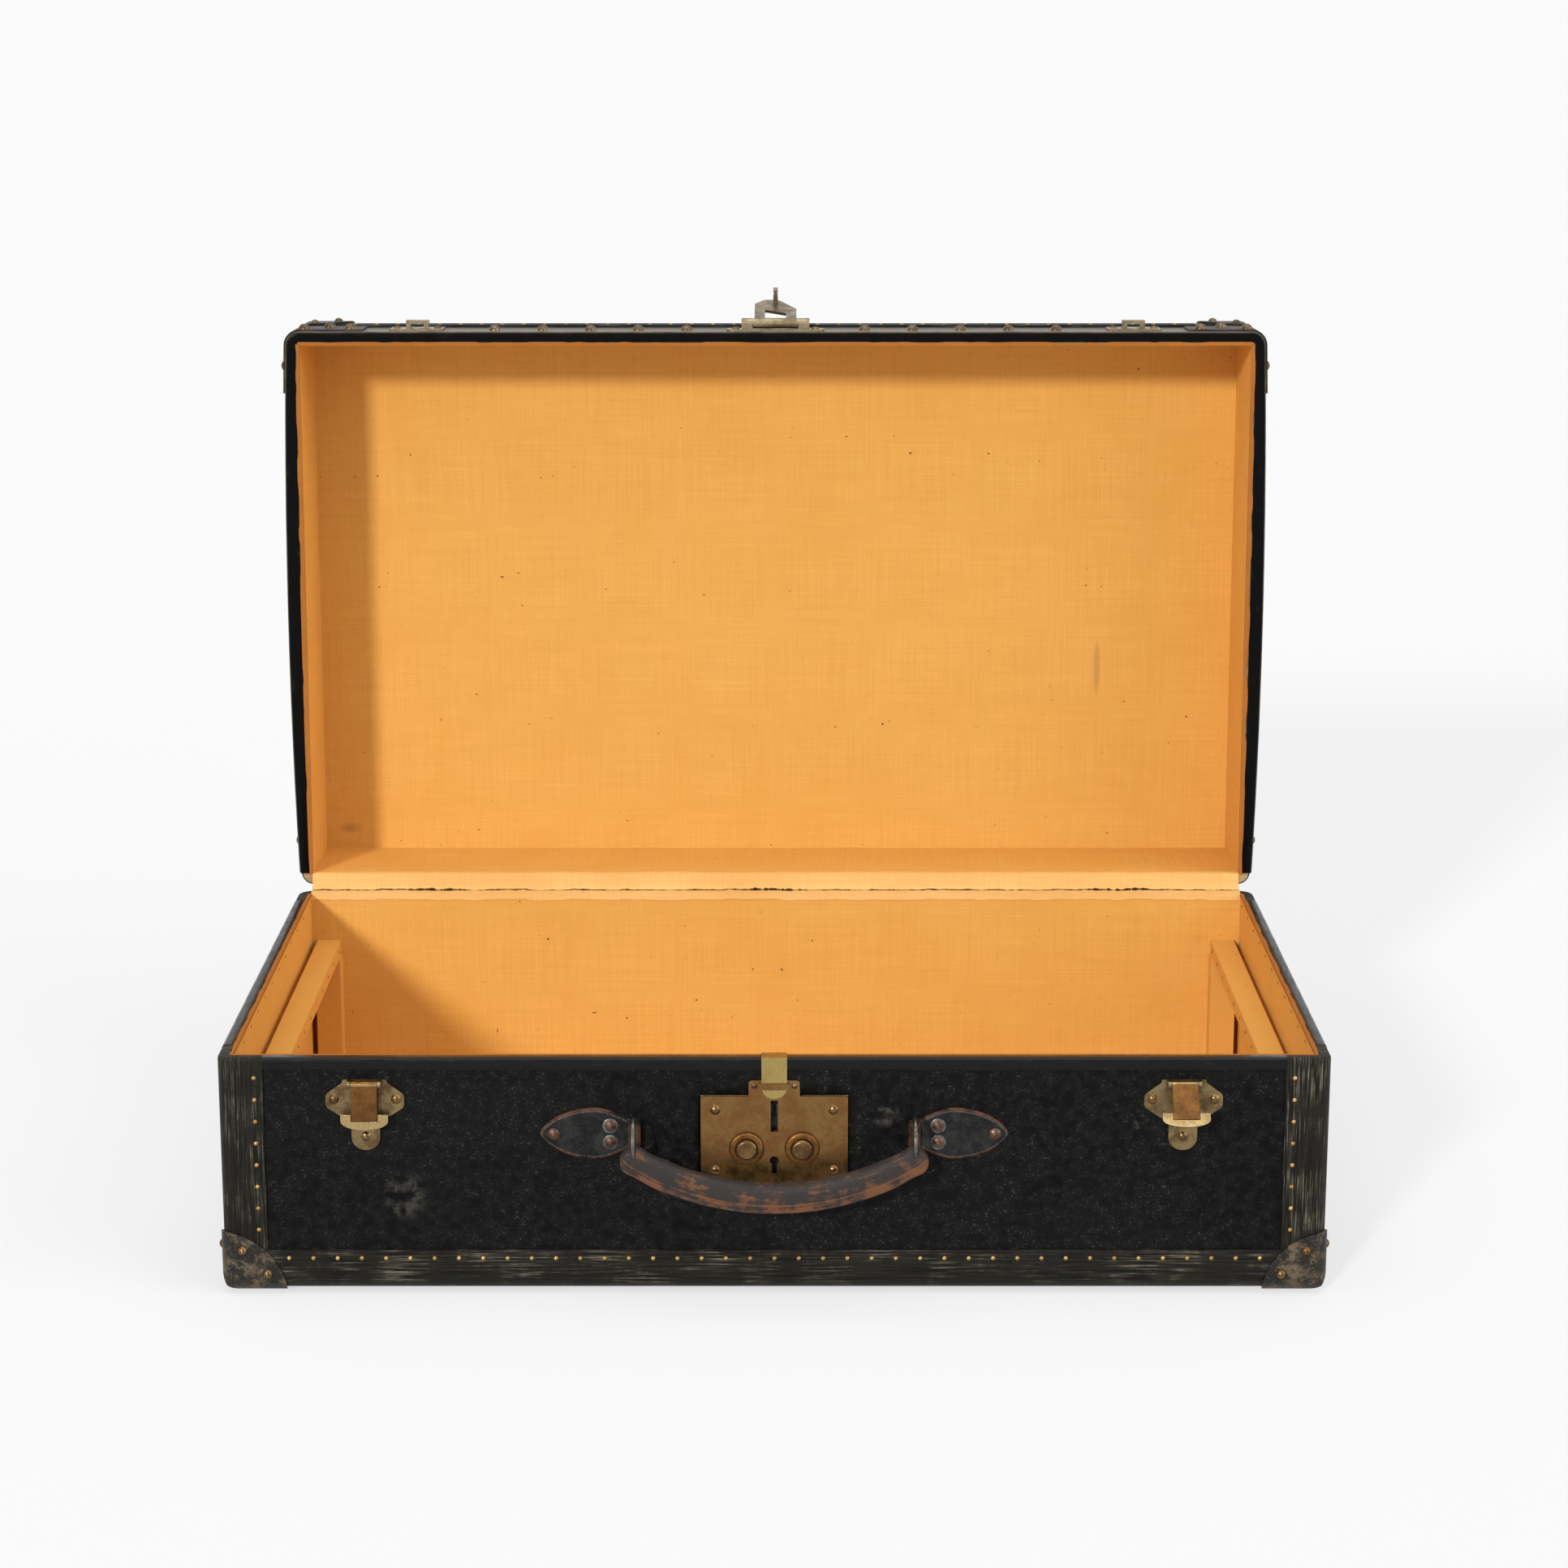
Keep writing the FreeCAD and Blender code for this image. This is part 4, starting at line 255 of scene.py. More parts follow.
class Paint:
    """A material with short calls for its nodes; lengths are in metres on the object."""

    def __init__(self, name, rough=0.5, metal=0.0, specular=0.5):
        self.material = bpy.data.materials.new(name)
        self.material.use_nodes = True
        self.tree = self.material.node_tree
        self.shader = self.tree.nodes["Principled BSDF"]
        for key, value in (("Roughness", rough), ("Metallic", metal), ("Specular IOR Level", specular)):
            self.shader.inputs[key].default_value = value
        self.place = self.add("ShaderNodeTexCoord").outputs["Object"]

    def add(self, kind, values=None):
        return add_node(self.tree, kind, values)

    def run(self):
        """Lengthwise and crosswise place on a strip or a sheet, in metres."""
        node = self.add("ShaderNodeAttribute")
        node.attribute_name = "run"
        return node.outputs["Vector"]

    def noise(self, size, detail, rough, vector=None, twist=0.0):
        values = {"Scale": 1 / size, "Detail": detail, "Roughness": rough, "Distortion": twist,
                  "Vector": vector or self.place}
        return self.add("ShaderNodeTexNoise", values).outputs["Fac"]

    def streaks(self, vector, scale, detail, rough, twist=0.0):
        """Noise stretched by a scale for each axis."""
        node = self.add("ShaderNodeMapping", {"Vector": vector, "Scale": scale})
        return self.noise(1.0, detail, rough, node.outputs["Vector"], twist)

    def cells(self, size):
        """The distance to the nearest border between cells."""
        node = self.add("ShaderNodeTexVoronoi", {"Scale": 1 / size, "Vector": self.place})
        node.feature = "DISTANCE_TO_EDGE"
        return node.outputs["Distance"]

    def wave(self, size, direction, vector, twist):
        values = {"Scale": math.pi / (10 * size), "Distortion": twist, "Vector": vector}
        node = self.add("ShaderNodeTexWave", values)
        node.bands_direction = direction
        return node.outputs["Fac"]

    def ramp(self, value, low, high, start=0.0, end=1.0):
        """A value's rise between two levels."""
        values = {"Value": value, "From Min": low, "From Max": high, "To Min": start, "To Max": end}
        node = self.add("ShaderNodeMapRange", values)
        node.interpolation_type = "SMOOTHSTEP"
        return node.outputs["Result"]

    def reckon(self, kind, first, second=0.0):
        node = self.add("ShaderNodeMath", {0: first, 1: second})
        node.operation = kind
        return node.outputs[0]

    def times(self, first, second):
        return self.reckon("MULTIPLY", first, second)

    def plus(self, first, second):
        return self.reckon("ADD", first, second)

    def mix(self, share, first, second):
        """Two colours mixed, each given as three levels or as another node's output."""
        node = self.add("ShaderNodeMix")
        node.data_type = "RGBA"
        for key, value in (("Factor", share), (6, first), (7, second)):
            link(self.tree, (*value, 1) if isinstance(value, tuple) else value, node.inputs[key])
        return node.outputs[2]

    def axis(self, vector, name):
        return self.add("ShaderNodeSeparateXYZ", {0: vector}).outputs[name]

    def near(self, centre, reach):
        """One inside an ellipsoid about a place on the object, fading to nothing at its edge."""
        scale = [1 / r for r in reach]
        shift = [-c / r for c, r in zip(centre, reach)]
        node = self.add("ShaderNodeMapping", {"Vector": self.place, "Scale": scale, "Location": shift})
        length = self.add("ShaderNodeVectorMath", {0: node.outputs["Vector"]})
        length.operation = "LENGTH"
        return self.ramp(length.outputs["Value"], 0.45, 1.0, 1, 0)

    def line(self, value, middle, reach):
        """One along a line where a value has its middle, fading out at a reach."""
        away = self.reckon("ABSOLUTE", self.reckon("SUBTRACT", value, middle))
        return self.ramp(self.reckon("DIVIDE", away, reach), 0.5, 1.0, 1, 0)

    def relief(self, *layers):
        """Reliefs one over another, each a height between 0 and 1 with its depth in metres."""
        over = {}
        for height, depth in layers:
            node = self.add("ShaderNodeBump", {"Strength": 1.0, "Distance": depth, "Height": height, **over})
            over = {"Normal": node.outputs["Normal"]}
        return over["Normal"]

    def finish(self, colour, roughness=None, normal=None):
        sockets = {"Base Color": colour, "Roughness": roughness, "Normal": normal}
        for name, value in sockets.items():
            if value is not None:
                link(self.tree, value, self.shader.inputs[name])
        return self.material


def coated_cloth():
    """Black coated cloth: matt, finely speckled with grey, rubbed and scuffed in places."""
    paint = Paint("coated_cloth", specular=0.075)
    fine = paint.noise(1.35 * MM, 3, 0.7)
    middle = paint.noise(7 * MM, 5, 0.65)
    broad = paint.noise(90 * MM, 3, 0.6)
    worn = paint.ramp(broad, 0.42, 0.62)
    speckle = paint.ramp(fine, 0.55, 0.70)
    cloud = paint.ramp(middle, 0.36, 0.66)
    dust = paint.times(speckle, paint.times(cloud, paint.ramp(broad, 0.3, 0.65, 0.35, 1)))
    colour = paint.mix(worn, (0.0020, 0.0020, 0.0024), (0.0040, 0.0040, 0.0040))
    colour = paint.mix(cloud, colour, (0.0060, 0.0059, 0.0056))
    colour = paint.mix(dust, colour, (0.068, 0.067, 0.062))
    for place, reach, share in SCUFFS:
        scuff = paint.times(paint.near(place, reach), paint.ramp(middle, 0.42, 0.66, 0, share))
        colour = paint.mix(scuff, colour, (0.085, 0.078, 0.062))
    rough = paint.ramp(middle, 0.3, 0.7, 0.40, 0.60)
    weave = paint.noise(0.6 * MM, 2, 0.5)
    return paint.finish(colour, rough, paint.relief((weave, 0.12 * MM), (middle, 0.25 * MM)))


def worn_fibre(name, wear, brown, gloss):
    """Black fibre strip, worn to tan and grey in streaks along its length; a tan brown given to it paints in part
    a sheen of grazing light.
    """
    paint = Paint(name, specular=gloss)
    run = paint.run()
    streak = paint.streaks(run, (24, 900, 1), 6, 0.7)
    thread = paint.streaks(run, (110, 2600, 1), 3, 0.6)
    patch = paint.noise(28 * MM, 4, 0.6)
    bald = paint.ramp(patch, 0.52 - wear, 0.82 - wear)
    amount = paint.times(bald, paint.ramp(streak, 0.50, 0.62))
    pale = paint.mix(thread, (0.11, 0.095, 0.062), (0.27, 0.24, 0.175))
    dark = paint.mix(paint.ramp(streak, 0.35, 0.7), (0.004, 0.004, 0.004), brown)
    colour = paint.mix(amount, dark, pale)
    rough = paint.ramp(streak, 0.3, 0.7, 0.42, 0.65)
    relief = paint.relief((streak, 0.25 * MM), (thread, 0.08 * MM))
    return paint.finish(colour, rough, relief)


def glossy_binding(name, gloss, rubbed):
    """Rolled black binding with a hard shine and small cracks; its roll is rubbed brown by a share."""
    paint = Paint(name, specular=gloss)
    run = paint.run()
    wear = paint.streaks(run, (60, 300, 1), 5, 0.7)
    colour = paint.mix(paint.ramp(wear, 0.62, 0.8), (0.003, 0.003, 0.003), (0.05, 0.042, 0.03))
    roll = paint.line(paint.axis(run, "Y"), 5.0 * MM, 4.6 * MM)
    roll = paint.times(roll, paint.ramp(wear, 0.3, 0.6, 0.3 * rubbed, rubbed))
    colour = paint.mix(roll, colour, (0.20, 0.15, 0.10))
    rough = paint.ramp(wear, 0.3, 0.75, 0.12, 0.4)
    relief = paint.relief((wear, 0.15 * MM))
    return paint.finish(colour, rough, relief)


def canvas(name, light, deep, seam=0.0):
    """Woven canvas with slubs, faint stains and stray dark specks; given a seam, a dark line of painted shade runs
    along it where the cloth creases and gapes.
    """
    paint = Paint(name, rough=0.85, specular=0.12)
    run = paint.run()
    warp = paint.wave(0.75 * MM, "X", run, 0.6)
    weft = paint.wave(0.65 * MM, "Y", run, 0.6)
    slub_x = paint.streaks(run, (14, 900, 1), 3, 0.6)
    slub_y = paint.streaks(run, (900, 14, 1), 3, 0.6)
    threads = paint.plus(paint.times(warp, weft), paint.plus(slub_x, slub_y))
    stain = paint.noise(60 * MM, 5, 0.65)
    speck = paint.ramp(paint.noise(3.1 * MM, 1, 0.3), 0.80, 0.84)
    colour = paint.mix(paint.ramp(stain, 0.35, 0.7), light, deep)
    shade = tuple(channel * 0.82 for channel in deep)
    colour = paint.mix(paint.ramp(threads, 1.75, 0.75, 0, 0.8), colour, shade)
    faded = paint.streaks(run, (9, 60, 1), 4, 0.65)
    colour = paint.mix(paint.ramp(faded, 0.5, 0.7, 0, 0.2), colour, light)
    colour = paint.mix(speck, colour, (0.12, 0.06, 0.02))
    for place, reach, share in MARKS:
        mark = paint.times(paint.near(place, reach), paint.ramp(stain, 0.3, 0.6, 0.2, share))
        colour = paint.mix(mark, colour, (0.16, 0.10, 0.055))
    # A dark line along the seam paints the shade in the tape's crease and in its ragged gaps
    if seam:
        rag = paint.streaks(run, (160, 0, 1), 3, 0.6)
        wide = paint.ramp(rag, 0.35, 0.75, 0.35 * MM, 1.1 * MM)
        for x in SEAM_HOLES:
            hole = paint.near((x, HINGE.y, HINGE.z), (26 * MM, 20 * MM, 20 * MM))
            open_here = paint.times(hole, paint.ramp(rag, 0.4, 0.6, 0, 1.5 * MM))
            wide = paint.plus(wide, open_here)
        gap_shade = paint.line(paint.axis(run, "Y"), seam, wide)
        colour = paint.mix(gap_shade, colour, (0.035, 0.020, 0.010))
    relief = paint.relief((threads, 0.10 * MM), (paint.noise(9 * MM, 4, 0.6), 0.35 * MM))
    return paint.finish(colour, paint.ramp(threads, 0.7, 1.8, 0.92, 0.78), relief)


def aged_brass(name, bright, brown, dark, rough, share=0.5):
    """Brass with brown patina in clouds, dark specks and fine scratches."""
    paint = Paint(name, metal=1.0, rough=rough)
    cloud = paint.noise(9 * MM, 6, 0.65)
    fine = paint.noise(1.2 * MM, 4, 0.6)
    scratch = paint.streaks(paint.place, (2200, 600, 120), 4, 0.7)
    colour = paint.mix(paint.ramp(cloud, share - 0.16, share + 0.16), bright, brown)
    colour = paint.mix(paint.ramp(fine, 0.55, 0.75, 0, 0.8), colour, dark)
    value = paint.ramp(cloud, 0.3, 0.7, rough - 0.08, rough + 0.14)
    relief = paint.relief((fine, 0.06 * MM), (scratch, 0.03 * MM))
    return paint.finish(colour, value, relief)


def dull_steel():
    paint = Paint("dull_steel", metal=1.0, rough=0.4)
    cloud = paint.noise(3 * MM, 5, 0.65)
    colour = paint.mix(paint.ramp(cloud, 0.4, 0.65), (0.15, 0.14, 0.13), (0.06, 0.05, 0.042))
    relief = paint.relief((cloud, 0.08 * MM))
    return paint.finish(colour, paint.ramp(cloud, 0.35, 0.65, 0.3, 0.55), relief)


def worn_cap(name, paint_colour, bare):
    """Corner metal with black paint worn through to tan-grey."""
    paint = Paint(name, specular=0.25, metal=0.25)
    cloud = paint.noise(16 * MM, 7, 0.7)
    fine = paint.noise(1.3 * MM, 4, 0.7)
    blend = paint.plus(paint.times(cloud, 0.75), paint.times(fine, 0.25))
    colour = paint.mix(paint.ramp(blend, 0.46, 0.60), paint_colour, bare)
    colour = paint.mix(paint.ramp(fine, 0.6, 0.8), colour, tuple(channel * 2 for channel in bare))
    relief = paint.relief((blend, 0.3 * MM))
    return paint.finish(colour, paint.ramp(blend, 0.3, 0.7, 0.4, 0.65), relief)


def black_leather():
    paint = Paint("black_leather", specular=0.10)
    grain = paint.cells(1.3 * MM)
    cloud = paint.noise(10 * MM, 5, 0.65)
    fine = paint.noise(1.0 * MM, 3, 0.6)
    colour = paint.mix(paint.ramp(cloud, 0.4, 0.7), (0.008, 0.008, 0.0085), (0.028, 0.027, 0.025))
    colour = paint.mix(paint.ramp(fine, 0.62, 0.8), colour, (0.06, 0.055, 0.05))
    edge = paint.axis(paint.run(), "Z")
    rubbed = paint.times(paint.ramp(edge, 0.35, 0.9), paint.ramp(cloud, 0.35, 0.6))
    colour = paint.mix(rubbed, colour, (0.13, 0.052, 0.028))
    stitch = paint.times(paint.line(edge, 0.42, 0.14), paint.ramp(fine, 0.35, 0.6, 0, 0.6))
    colour = paint.mix(stitch, colour, (0.17, 0.155, 0.13))
    relief = paint.relief((paint.ramp(grain, 0, 0.25), 0.15 * MM), (cloud, 0.3 * MM))
    return paint.finish(colour, paint.ramp(cloud, 0.35, 0.7, 0.36, 0.55), relief)


def grip_leather():
    """Black leather rubbed to red-brown on its ridges and edges."""
    paint = Paint("grip_leather", specular=0.12)
    run = paint.run()
    streak = paint.streaks(run, (35, 320, 1), 6, 0.7)
    cloud = paint.noise(14 * MM, 5, 0.65)
    fine = paint.noise(0.8 * MM, 3, 0.6)
    low = paint.line(paint.axis(run, "Y"), GRIP_ROUND * 0.77, 15 * MM)
    rub = paint.plus(paint.plus(streak, cloud), paint.times(low, 0.16))
    worn = paint.ramp(rub, 1.02, 1.22)
    red = paint.mix(fine, (0.105, 0.038, 0.016), (0.215, 0.095, 0.046))
    colour = paint.mix(worn, (0.032, 0.028, 0.026), red)
    speckle = paint.times(paint.ramp(fine, 0.55, 0.72), paint.ramp(cloud, 0.35, 0.65))
    colour = paint.mix(paint.times(speckle, 0.7), colour, (0.16, 0.095, 0.06))
    low_edge = paint.line(paint.axis(run, "Y"), GRIP_ROUND * 0.75, 3.4 * MM)
    low_edge = paint.times(low_edge, paint.ramp(cloud, 0.3, 0.6))
    colour = paint.mix(low_edge, colour, (0.22, 0.085, 0.030))
    relief = paint.relief((streak, 0.35 * MM), (fine, 0.15 * MM))
    return paint.finish(colour, paint.ramp(cloud, 0.35, 0.7, 0.38, 0.6), relief)


def bare_wood():
    paint = Paint("bare_wood", rough=0.7, specular=0.2)
    grain = paint.streaks(paint.place, (8, 260, 260), 6, 0.6, 0.6)
    colour = paint.mix(paint.ramp(grain, 0.35, 0.7), (0.50, 0.33, 0.17), (0.30, 0.17, 0.08))
    return paint.finish(colour, None, paint.relief((grain, 0.15 * MM)))


CANVAS = ((0.805, 0.430, 0.105), (0.775, 0.395, 0.086))
MATERIALS = {
    "covering": coated_cloth(),
    "trim": worn_fibre("worn_fibre", 0.11, (0.020, 0.018, 0.012), 0.10),
    # The lid's front strip: its tan brown is partly wear and partly a painted sheen of grazing light
    "lid_trim": worn_fibre("rubbed_fibre_and_sheen", 0.24, (0.17, 0.125, 0.075), 0.6),
    "binding": glossy_binding("glossy_binding", 0.18, 0.0),
    "lid_binding": glossy_binding("rubbed_binding", 0.05, 0.9),
    "lining": canvas("orange_canvas", *CANVAS),
    "tape": canvas("pale_tape", (0.92, 0.58, 0.22), (0.86, 0.49, 0.16), TAPE_SEAM),
    # The lining's lip over the rim: a deep orange that paints the shade of the inner walls
    "painted_shade_lip_canvas": canvas("painted_shade_lip_canvas", (0.45, 0.165, 0.032), (0.36, 0.125, 0.024)),
    "rail_cloth": canvas("rail_canvas", *CANVAS),
    "corner_metal": worn_cap("worn_cap", (0.014, 0.013, 0.010), (0.14, 0.105, 0.066)),
    "steel": dull_steel(),
    "guard": worn_cap("dark_guard", (0.012, 0.011, 0.009), (0.05, 0.042, 0.032)),
    "board": bare_wood(),
    "handle_leather": grip_leather(),
    "mount_leather": black_leather(),
}

# Brasses: slot or use, name, colour where bright, brown and dark, roughness, any share of brown
BRASSES = (
    ("brass", "aged_brass", (0.25, 0.18, 0.088), (0.105, 0.066, 0.031), (0.035, 0.025, 0.012), 0.38),
    ("nail", "nail_brass", (0.46, 0.30, 0.10), (0.27, 0.155, 0.05), (0.07, 0.04, 0.02), 0.32),
    ("copper_brown", "copper_brown", (0.21, 0.098, 0.028), (0.11, 0.05, 0.018), (0.03, 0.02, 0.012), 0.38),
    ("bright_brass", "bright_brass", (0.40, 0.29, 0.10), (0.27, 0.18, 0.06), (0.12, 0.08, 0.035), 0.28, 0.6),
    ("tab", "tab_brass", (0.36, 0.27, 0.13), (0.24, 0.165, 0.075), (0.09, 0.06, 0.03), 0.3),
    ("rivet", "rivet_copper", (0.20, 0.115, 0.048), (0.09, 0.048, 0.021), (0.03, 0.02, 0.012), 0.26),
    ("chape_rivet", "chape_rivet", (0.13, 0.075, 0.055), (0.075, 0.042, 0.032), (0.03, 0.02, 0.015), 0.38),
    ("stud", "stud_bronze", (0.17, 0.12, 0.07), (0.07, 0.045, 0.025), (0.02, 0.015, 0.01), 0.24),
    ("hasp", "hasp_bronze", (0.30, 0.25, 0.15), (0.16, 0.12, 0.07), (0.05, 0.035, 0.02), 0.34),
    ("lock", "lock_bronze", (0.215, 0.125, 0.044), (0.165, 0.076, 0.027), (0.06, 0.029, 0.013), 0.36),
    ("inside", "inside_iron", (0.07, 0.065, 0.06), (0.03, 0.027, 0.024), (0.012, 0.011, 0.01), 0.5),
)
for slot, *row in BRASSES:
    MATERIALS[slot] = aged_brass(*row)


# Meshes


def add_object(name, data):
    obj = bpy.data.objects.new(name, data)
    bpy.context.collection.objects.link(obj)
    return obj


def piece(name, points, faces, body, slot, runs=(), replaced=(), material=None):
    """A new object from points and faces, with its material, body and slot; a blended one has no body."""
    mesh = bpy.data.meshes.new(name)
    mesh.from_pydata([tuple(p) for p in points], [], faces)
    if runs:
        attribute = mesh.attributes.new("run", "FLOAT_VECTOR", "POINT")
        attribute.data.foreach_set("vector", [value for run in runs for value in (*run, 0.0)[:3]])
    if body == "lid":
        mesh.transform(OPEN)
    mesh.validate()
    work = bmesh.new()
    work.from_mesh(mesh)
    bmesh.ops.recalc_face_normals(work, faces=work.faces)
    work.to_mesh(mesh)
    work.free()
    obj = add_object(name, mesh)
    mesh.materials.append(material or MATERIALS[slot])
    mesh.shade_smooth()
    mesh.set_sharp_from_angle(angle=SHARP)
    if body is not None:
        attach(obj, body)
    if replaced:
        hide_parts(*replaced)
    return obj


def soften(obj, width):
    """Small bevels on an object's sharp edges."""
    modifier = obj.modifiers.new("soft_edges", "BEVEL")
    modifier.width = width
    modifier.segments = 2
    modifier.limit_method = "ANGLE"
    modifier.angle_limit = SHARP


class Soup:
    """Points, faces and run values gathered for one object."""

    def __init__(self):
        self.points = []
        self.faces = []
        self.runs = []

    def sweep(self, half, profile, stations, closed=False, lengthwise=True, fringe=(), seed=1,
              corner=CORNER, sway=()):
        """A closed profile of (inset, depth) carried along stations of the plan.

        The profile's points in fringe wander in depth and those in sway in inset."""
        first = len(self.points)
        across = [0.0]
        for a, b in zip(profile, profile[1:]):
            across.append(across[-1] + math.dist(a, b))
        along = 0.0
        last = None
        for station in stations:
            here = half.point(station, 0, 0, corner)
            along += (here - last).length if last is not None else 0.0
            last = here
            for i, (inset, depth) in enumerate(profile):
                shift = wobble(along, seed + i % 2, *FRINGE) if i in fringe else 0.0
                if i in sway:
                    inset += wobble(along, seed, *SWAY)
                self.points.append(half.point(station, inset, depth + shift, corner))
                self.runs.append((along, across[i]) if lengthwise else (across[i], along))
        self.join_rings(first, len(stations), len(profile), closed)

    def join_rings(self, first, rings, sides, closed=False):
        """Faces between rings of points, and over the ends of an open run of them."""
        for ring in range(rings if closed else rings - 1):
            here, after = first + ring * sides, first + (ring + 1) % rings * sides
            for i in range(sides):
                j = (i + 1) % sides
                self.faces.append((here + i, here + j, after + j, after + i))
        if not closed:
            self.faces.append([first + i for i in range(sides)][::-1])
            self.faces.append([first + (rings - 1) * sides + i for i in range(sides)])

    def join_layers(self, first, rows, columns):
        """Faces of a sheet from its two layers of points, closed round its edge."""
        wide = columns + 1
        size = (rows + 1) * wide
        for r in range(rows):
            for c in range(columns):
                a = first + r * wide + c
                quad = (a, a + 1, a + wide + 1, a + wide)
                self.faces += [quad, tuple(n + size for n in reversed(quad))]
        rim = [first + c for c in range(wide)]
        rim += [first + r * wide + columns for r in range(1, rows + 1)]
        rim += [first + rows * wide + c for c in range(columns - 1, -1, -1)]
        rim += [first + r * wide for r in range(rows - 1, 0, -1)]
        for a, b in zip(rim, rim[1:] + rim[:1]):
            self.faces.append((b, a, a + size, b + size))

    def make(self, name, body, slot, replaced=(), material=None):
        return piece(name, self.points, self.faces, body, slot, self.runs, replaced, material)


def arc(centre, radius, start, end, steps=6):
    """Points of an arc in a profile, angles in degrees."""
    points = []
    for i in range(steps + 1):
        angle = math.radians(start + (end - start) * i / steps)
        points.append((centre[0] + radius * math.cos(angle), centre[1] + radius * math.sin(angle)))
    return points


def circle(sides):
    """Cosine and sine of even turns round a circle."""
    turns = [2 * math.pi * i / sides for i in range(sides)]
    return [(math.cos(turn), math.sin(turn)) for turn in turns]


def make_covering(half):
    """The cloth skin: walls, rolled edge and panel, with a hole behind the lock."""
    edge = EDGE - TRIM
    far = half.depth - TRIM
    steps, rows = 18, 24
    hole, margin, calm_reach = 4 * MM, 4 * MM, 12 * MM
    dent_size, dent_depth = 55 * MM, 0.25 * MM
    profile = [(TRIM, BINDING + (far - edge - BINDING) * i / steps) for i in range(steps)]
    profile += arc((TRIM + edge, far - edge), edge, 180, 90)
    inner = half.half_y - hole
    profile += [(TRIM + edge + (inner - TRIM - edge) * i / rows, far) for i in range(1, rows + 1)]
    stations = half.around()
    soup = Soup()
    points, count, rings = soup.points, len(profile), len(stations)
    along = 0.0
    for k, station in enumerate(stations):
        if k:
            along += (half.point(station, 0, 0) - half.point(stations[k - 1], 0, 0)).length
        for i, (inset, depth) in enumerate(profile):
            point = half.point(station, inset, depth)
            calm = min(1, abs(depth - BINDING) / calm_reach)
            dent = noise.noise(point / dent_size) * dent_depth * calm
            sunk = dent if i >= steps else 0
            points.append(half.point(station, inset + max(dent, 0), depth - sunk))
            soup.runs.append((along, depth + inset))
    low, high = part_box("lock_case")
    for k in range(rings):
        here, after = k * count, (k + 1) % rings * count
        for i in range(count - 1):
            face = (here + i, here + i + 1, after + i + 1, after + i)
            middle = sum((points[n] for n in face), Vector()) / 4
            behind_lock = half is BASE and middle.y < 0 and i < steps \
                and low.x - margin < middle.x < high.x + margin \
                and low.z - margin < middle.z < high.z + margin
            if not behind_lock:
                soup.faces.append(face)
    soup.faces.append([k * count + count - 1 for k in range(rings)])
    obj = soup.make(half.body + "_covering_cloth", half.body, "covering", (half.covering,))
    solidify = obj.modifiers.new("thickness", "SOLIDIFY")
    solidify.thickness = COVER * 0.9
    solidify.offset = -1


def make_edge_ring(half):
    """The fibre strip that wraps the far edges all round."""
    far, inner = half.depth, EDGE - TRIM
    top = far - RING_HEIGHT
    soft = 0.35 * MM
    profile = [(TRIM, top), (soft, top), (0, top + soft)]
    profile += arc((EDGE, far - EDGE), EDGE, 180, 90, 8)
    profile += [(STRIP - soft, far), (STRIP, far - soft), (STRIP, far - TRIM)]
    profile += arc((EDGE, far - EDGE), inner, 90, 180, 8)
    soup = Soup()
    soup.sweep(half, profile, half.around(), closed=True, fringe=(0, 1), seed=3)
    return soup


def make_corner_strips(half, soup):
    """Fibre strips up the four corners; the base's go over the rim too, but not over the back rim."""
    soft, sunk, tuck = 0.3 * MM, 0.1 * MM, 0.6 * MM
    low = half.depth - RING_HEIGHT + tuck
    profile = [(TRIM, low), (sunk, low)]
    profile += arc((ROLL, ROLL), ROLL, 180, 270, 5)
    profile += [(WALL - LIP, 0), (WALL - LIP, BINDING), (TRIM, BINDING)]
    near = soft if half is BASE else BAND
    behind = [(TRIM, low), (sunk, low), (sunk, near + soft), (soft, near), (TRIM, near)]
    for side in range(4):
        after = (side + 1) % 4
        start = [("side", side, 1 - half.share_at(side, STRIP) * (1 - i / 2)) for i in range(2)]
        bend = half.bend(side)
        end = [("side", after, half.share_at(after, STRIP) * (i + 1) / 2) for i in range(2)]
        if half is LID:
            strips = [(behind, start + bend + end)]
        elif side == 1:
            strips = [(profile, start + bend), (behind, bend[-1:] + end)]
        elif side == 2:
            strips = [(behind, start + bend[:1]), (profile, bend + end)]
        else:
            strips = [(profile, start + bend + end)]
        for shape, path in strips:
            soup.sweep(half, shape, path, lengthwise=False)


def make_front_strip(half):
    """The fibre strip on the lid's front below the binding."""
    soup = Soup()
    low, high, soft = BAND, BAND + FRONT_STRIP, 0.3 * MM
    share = half.share_at(0, STRIP)
    profile = [(TRIM, low), (0, low), (0, high - soft), (soft, high), (TRIM, high)]
    soup.sweep(half, profile, half.stations(0, share, 1 - share), fringe=(2, 3, 4), seed=9)
    soup.make(half.body + "_front_strip", half.body, "trim", material=MATERIALS["lid_trim"])


def make_trims():
    make_edge_ring(BASE).make("base_bottom_strip", "base", "trim", ("base_bottom_trim",))
    corners = Soup()
    make_corner_strips(BASE, corners)
    corners.make("base_corner_strips", "base", "trim", ("base_corner_trims",))
    lid = make_edge_ring(LID)
    make_corner_strips(LID, lid)
    lid.make("lid_strips", "lid", "trim", ("lid_edge_trims",))
    make_front_strip(LID)


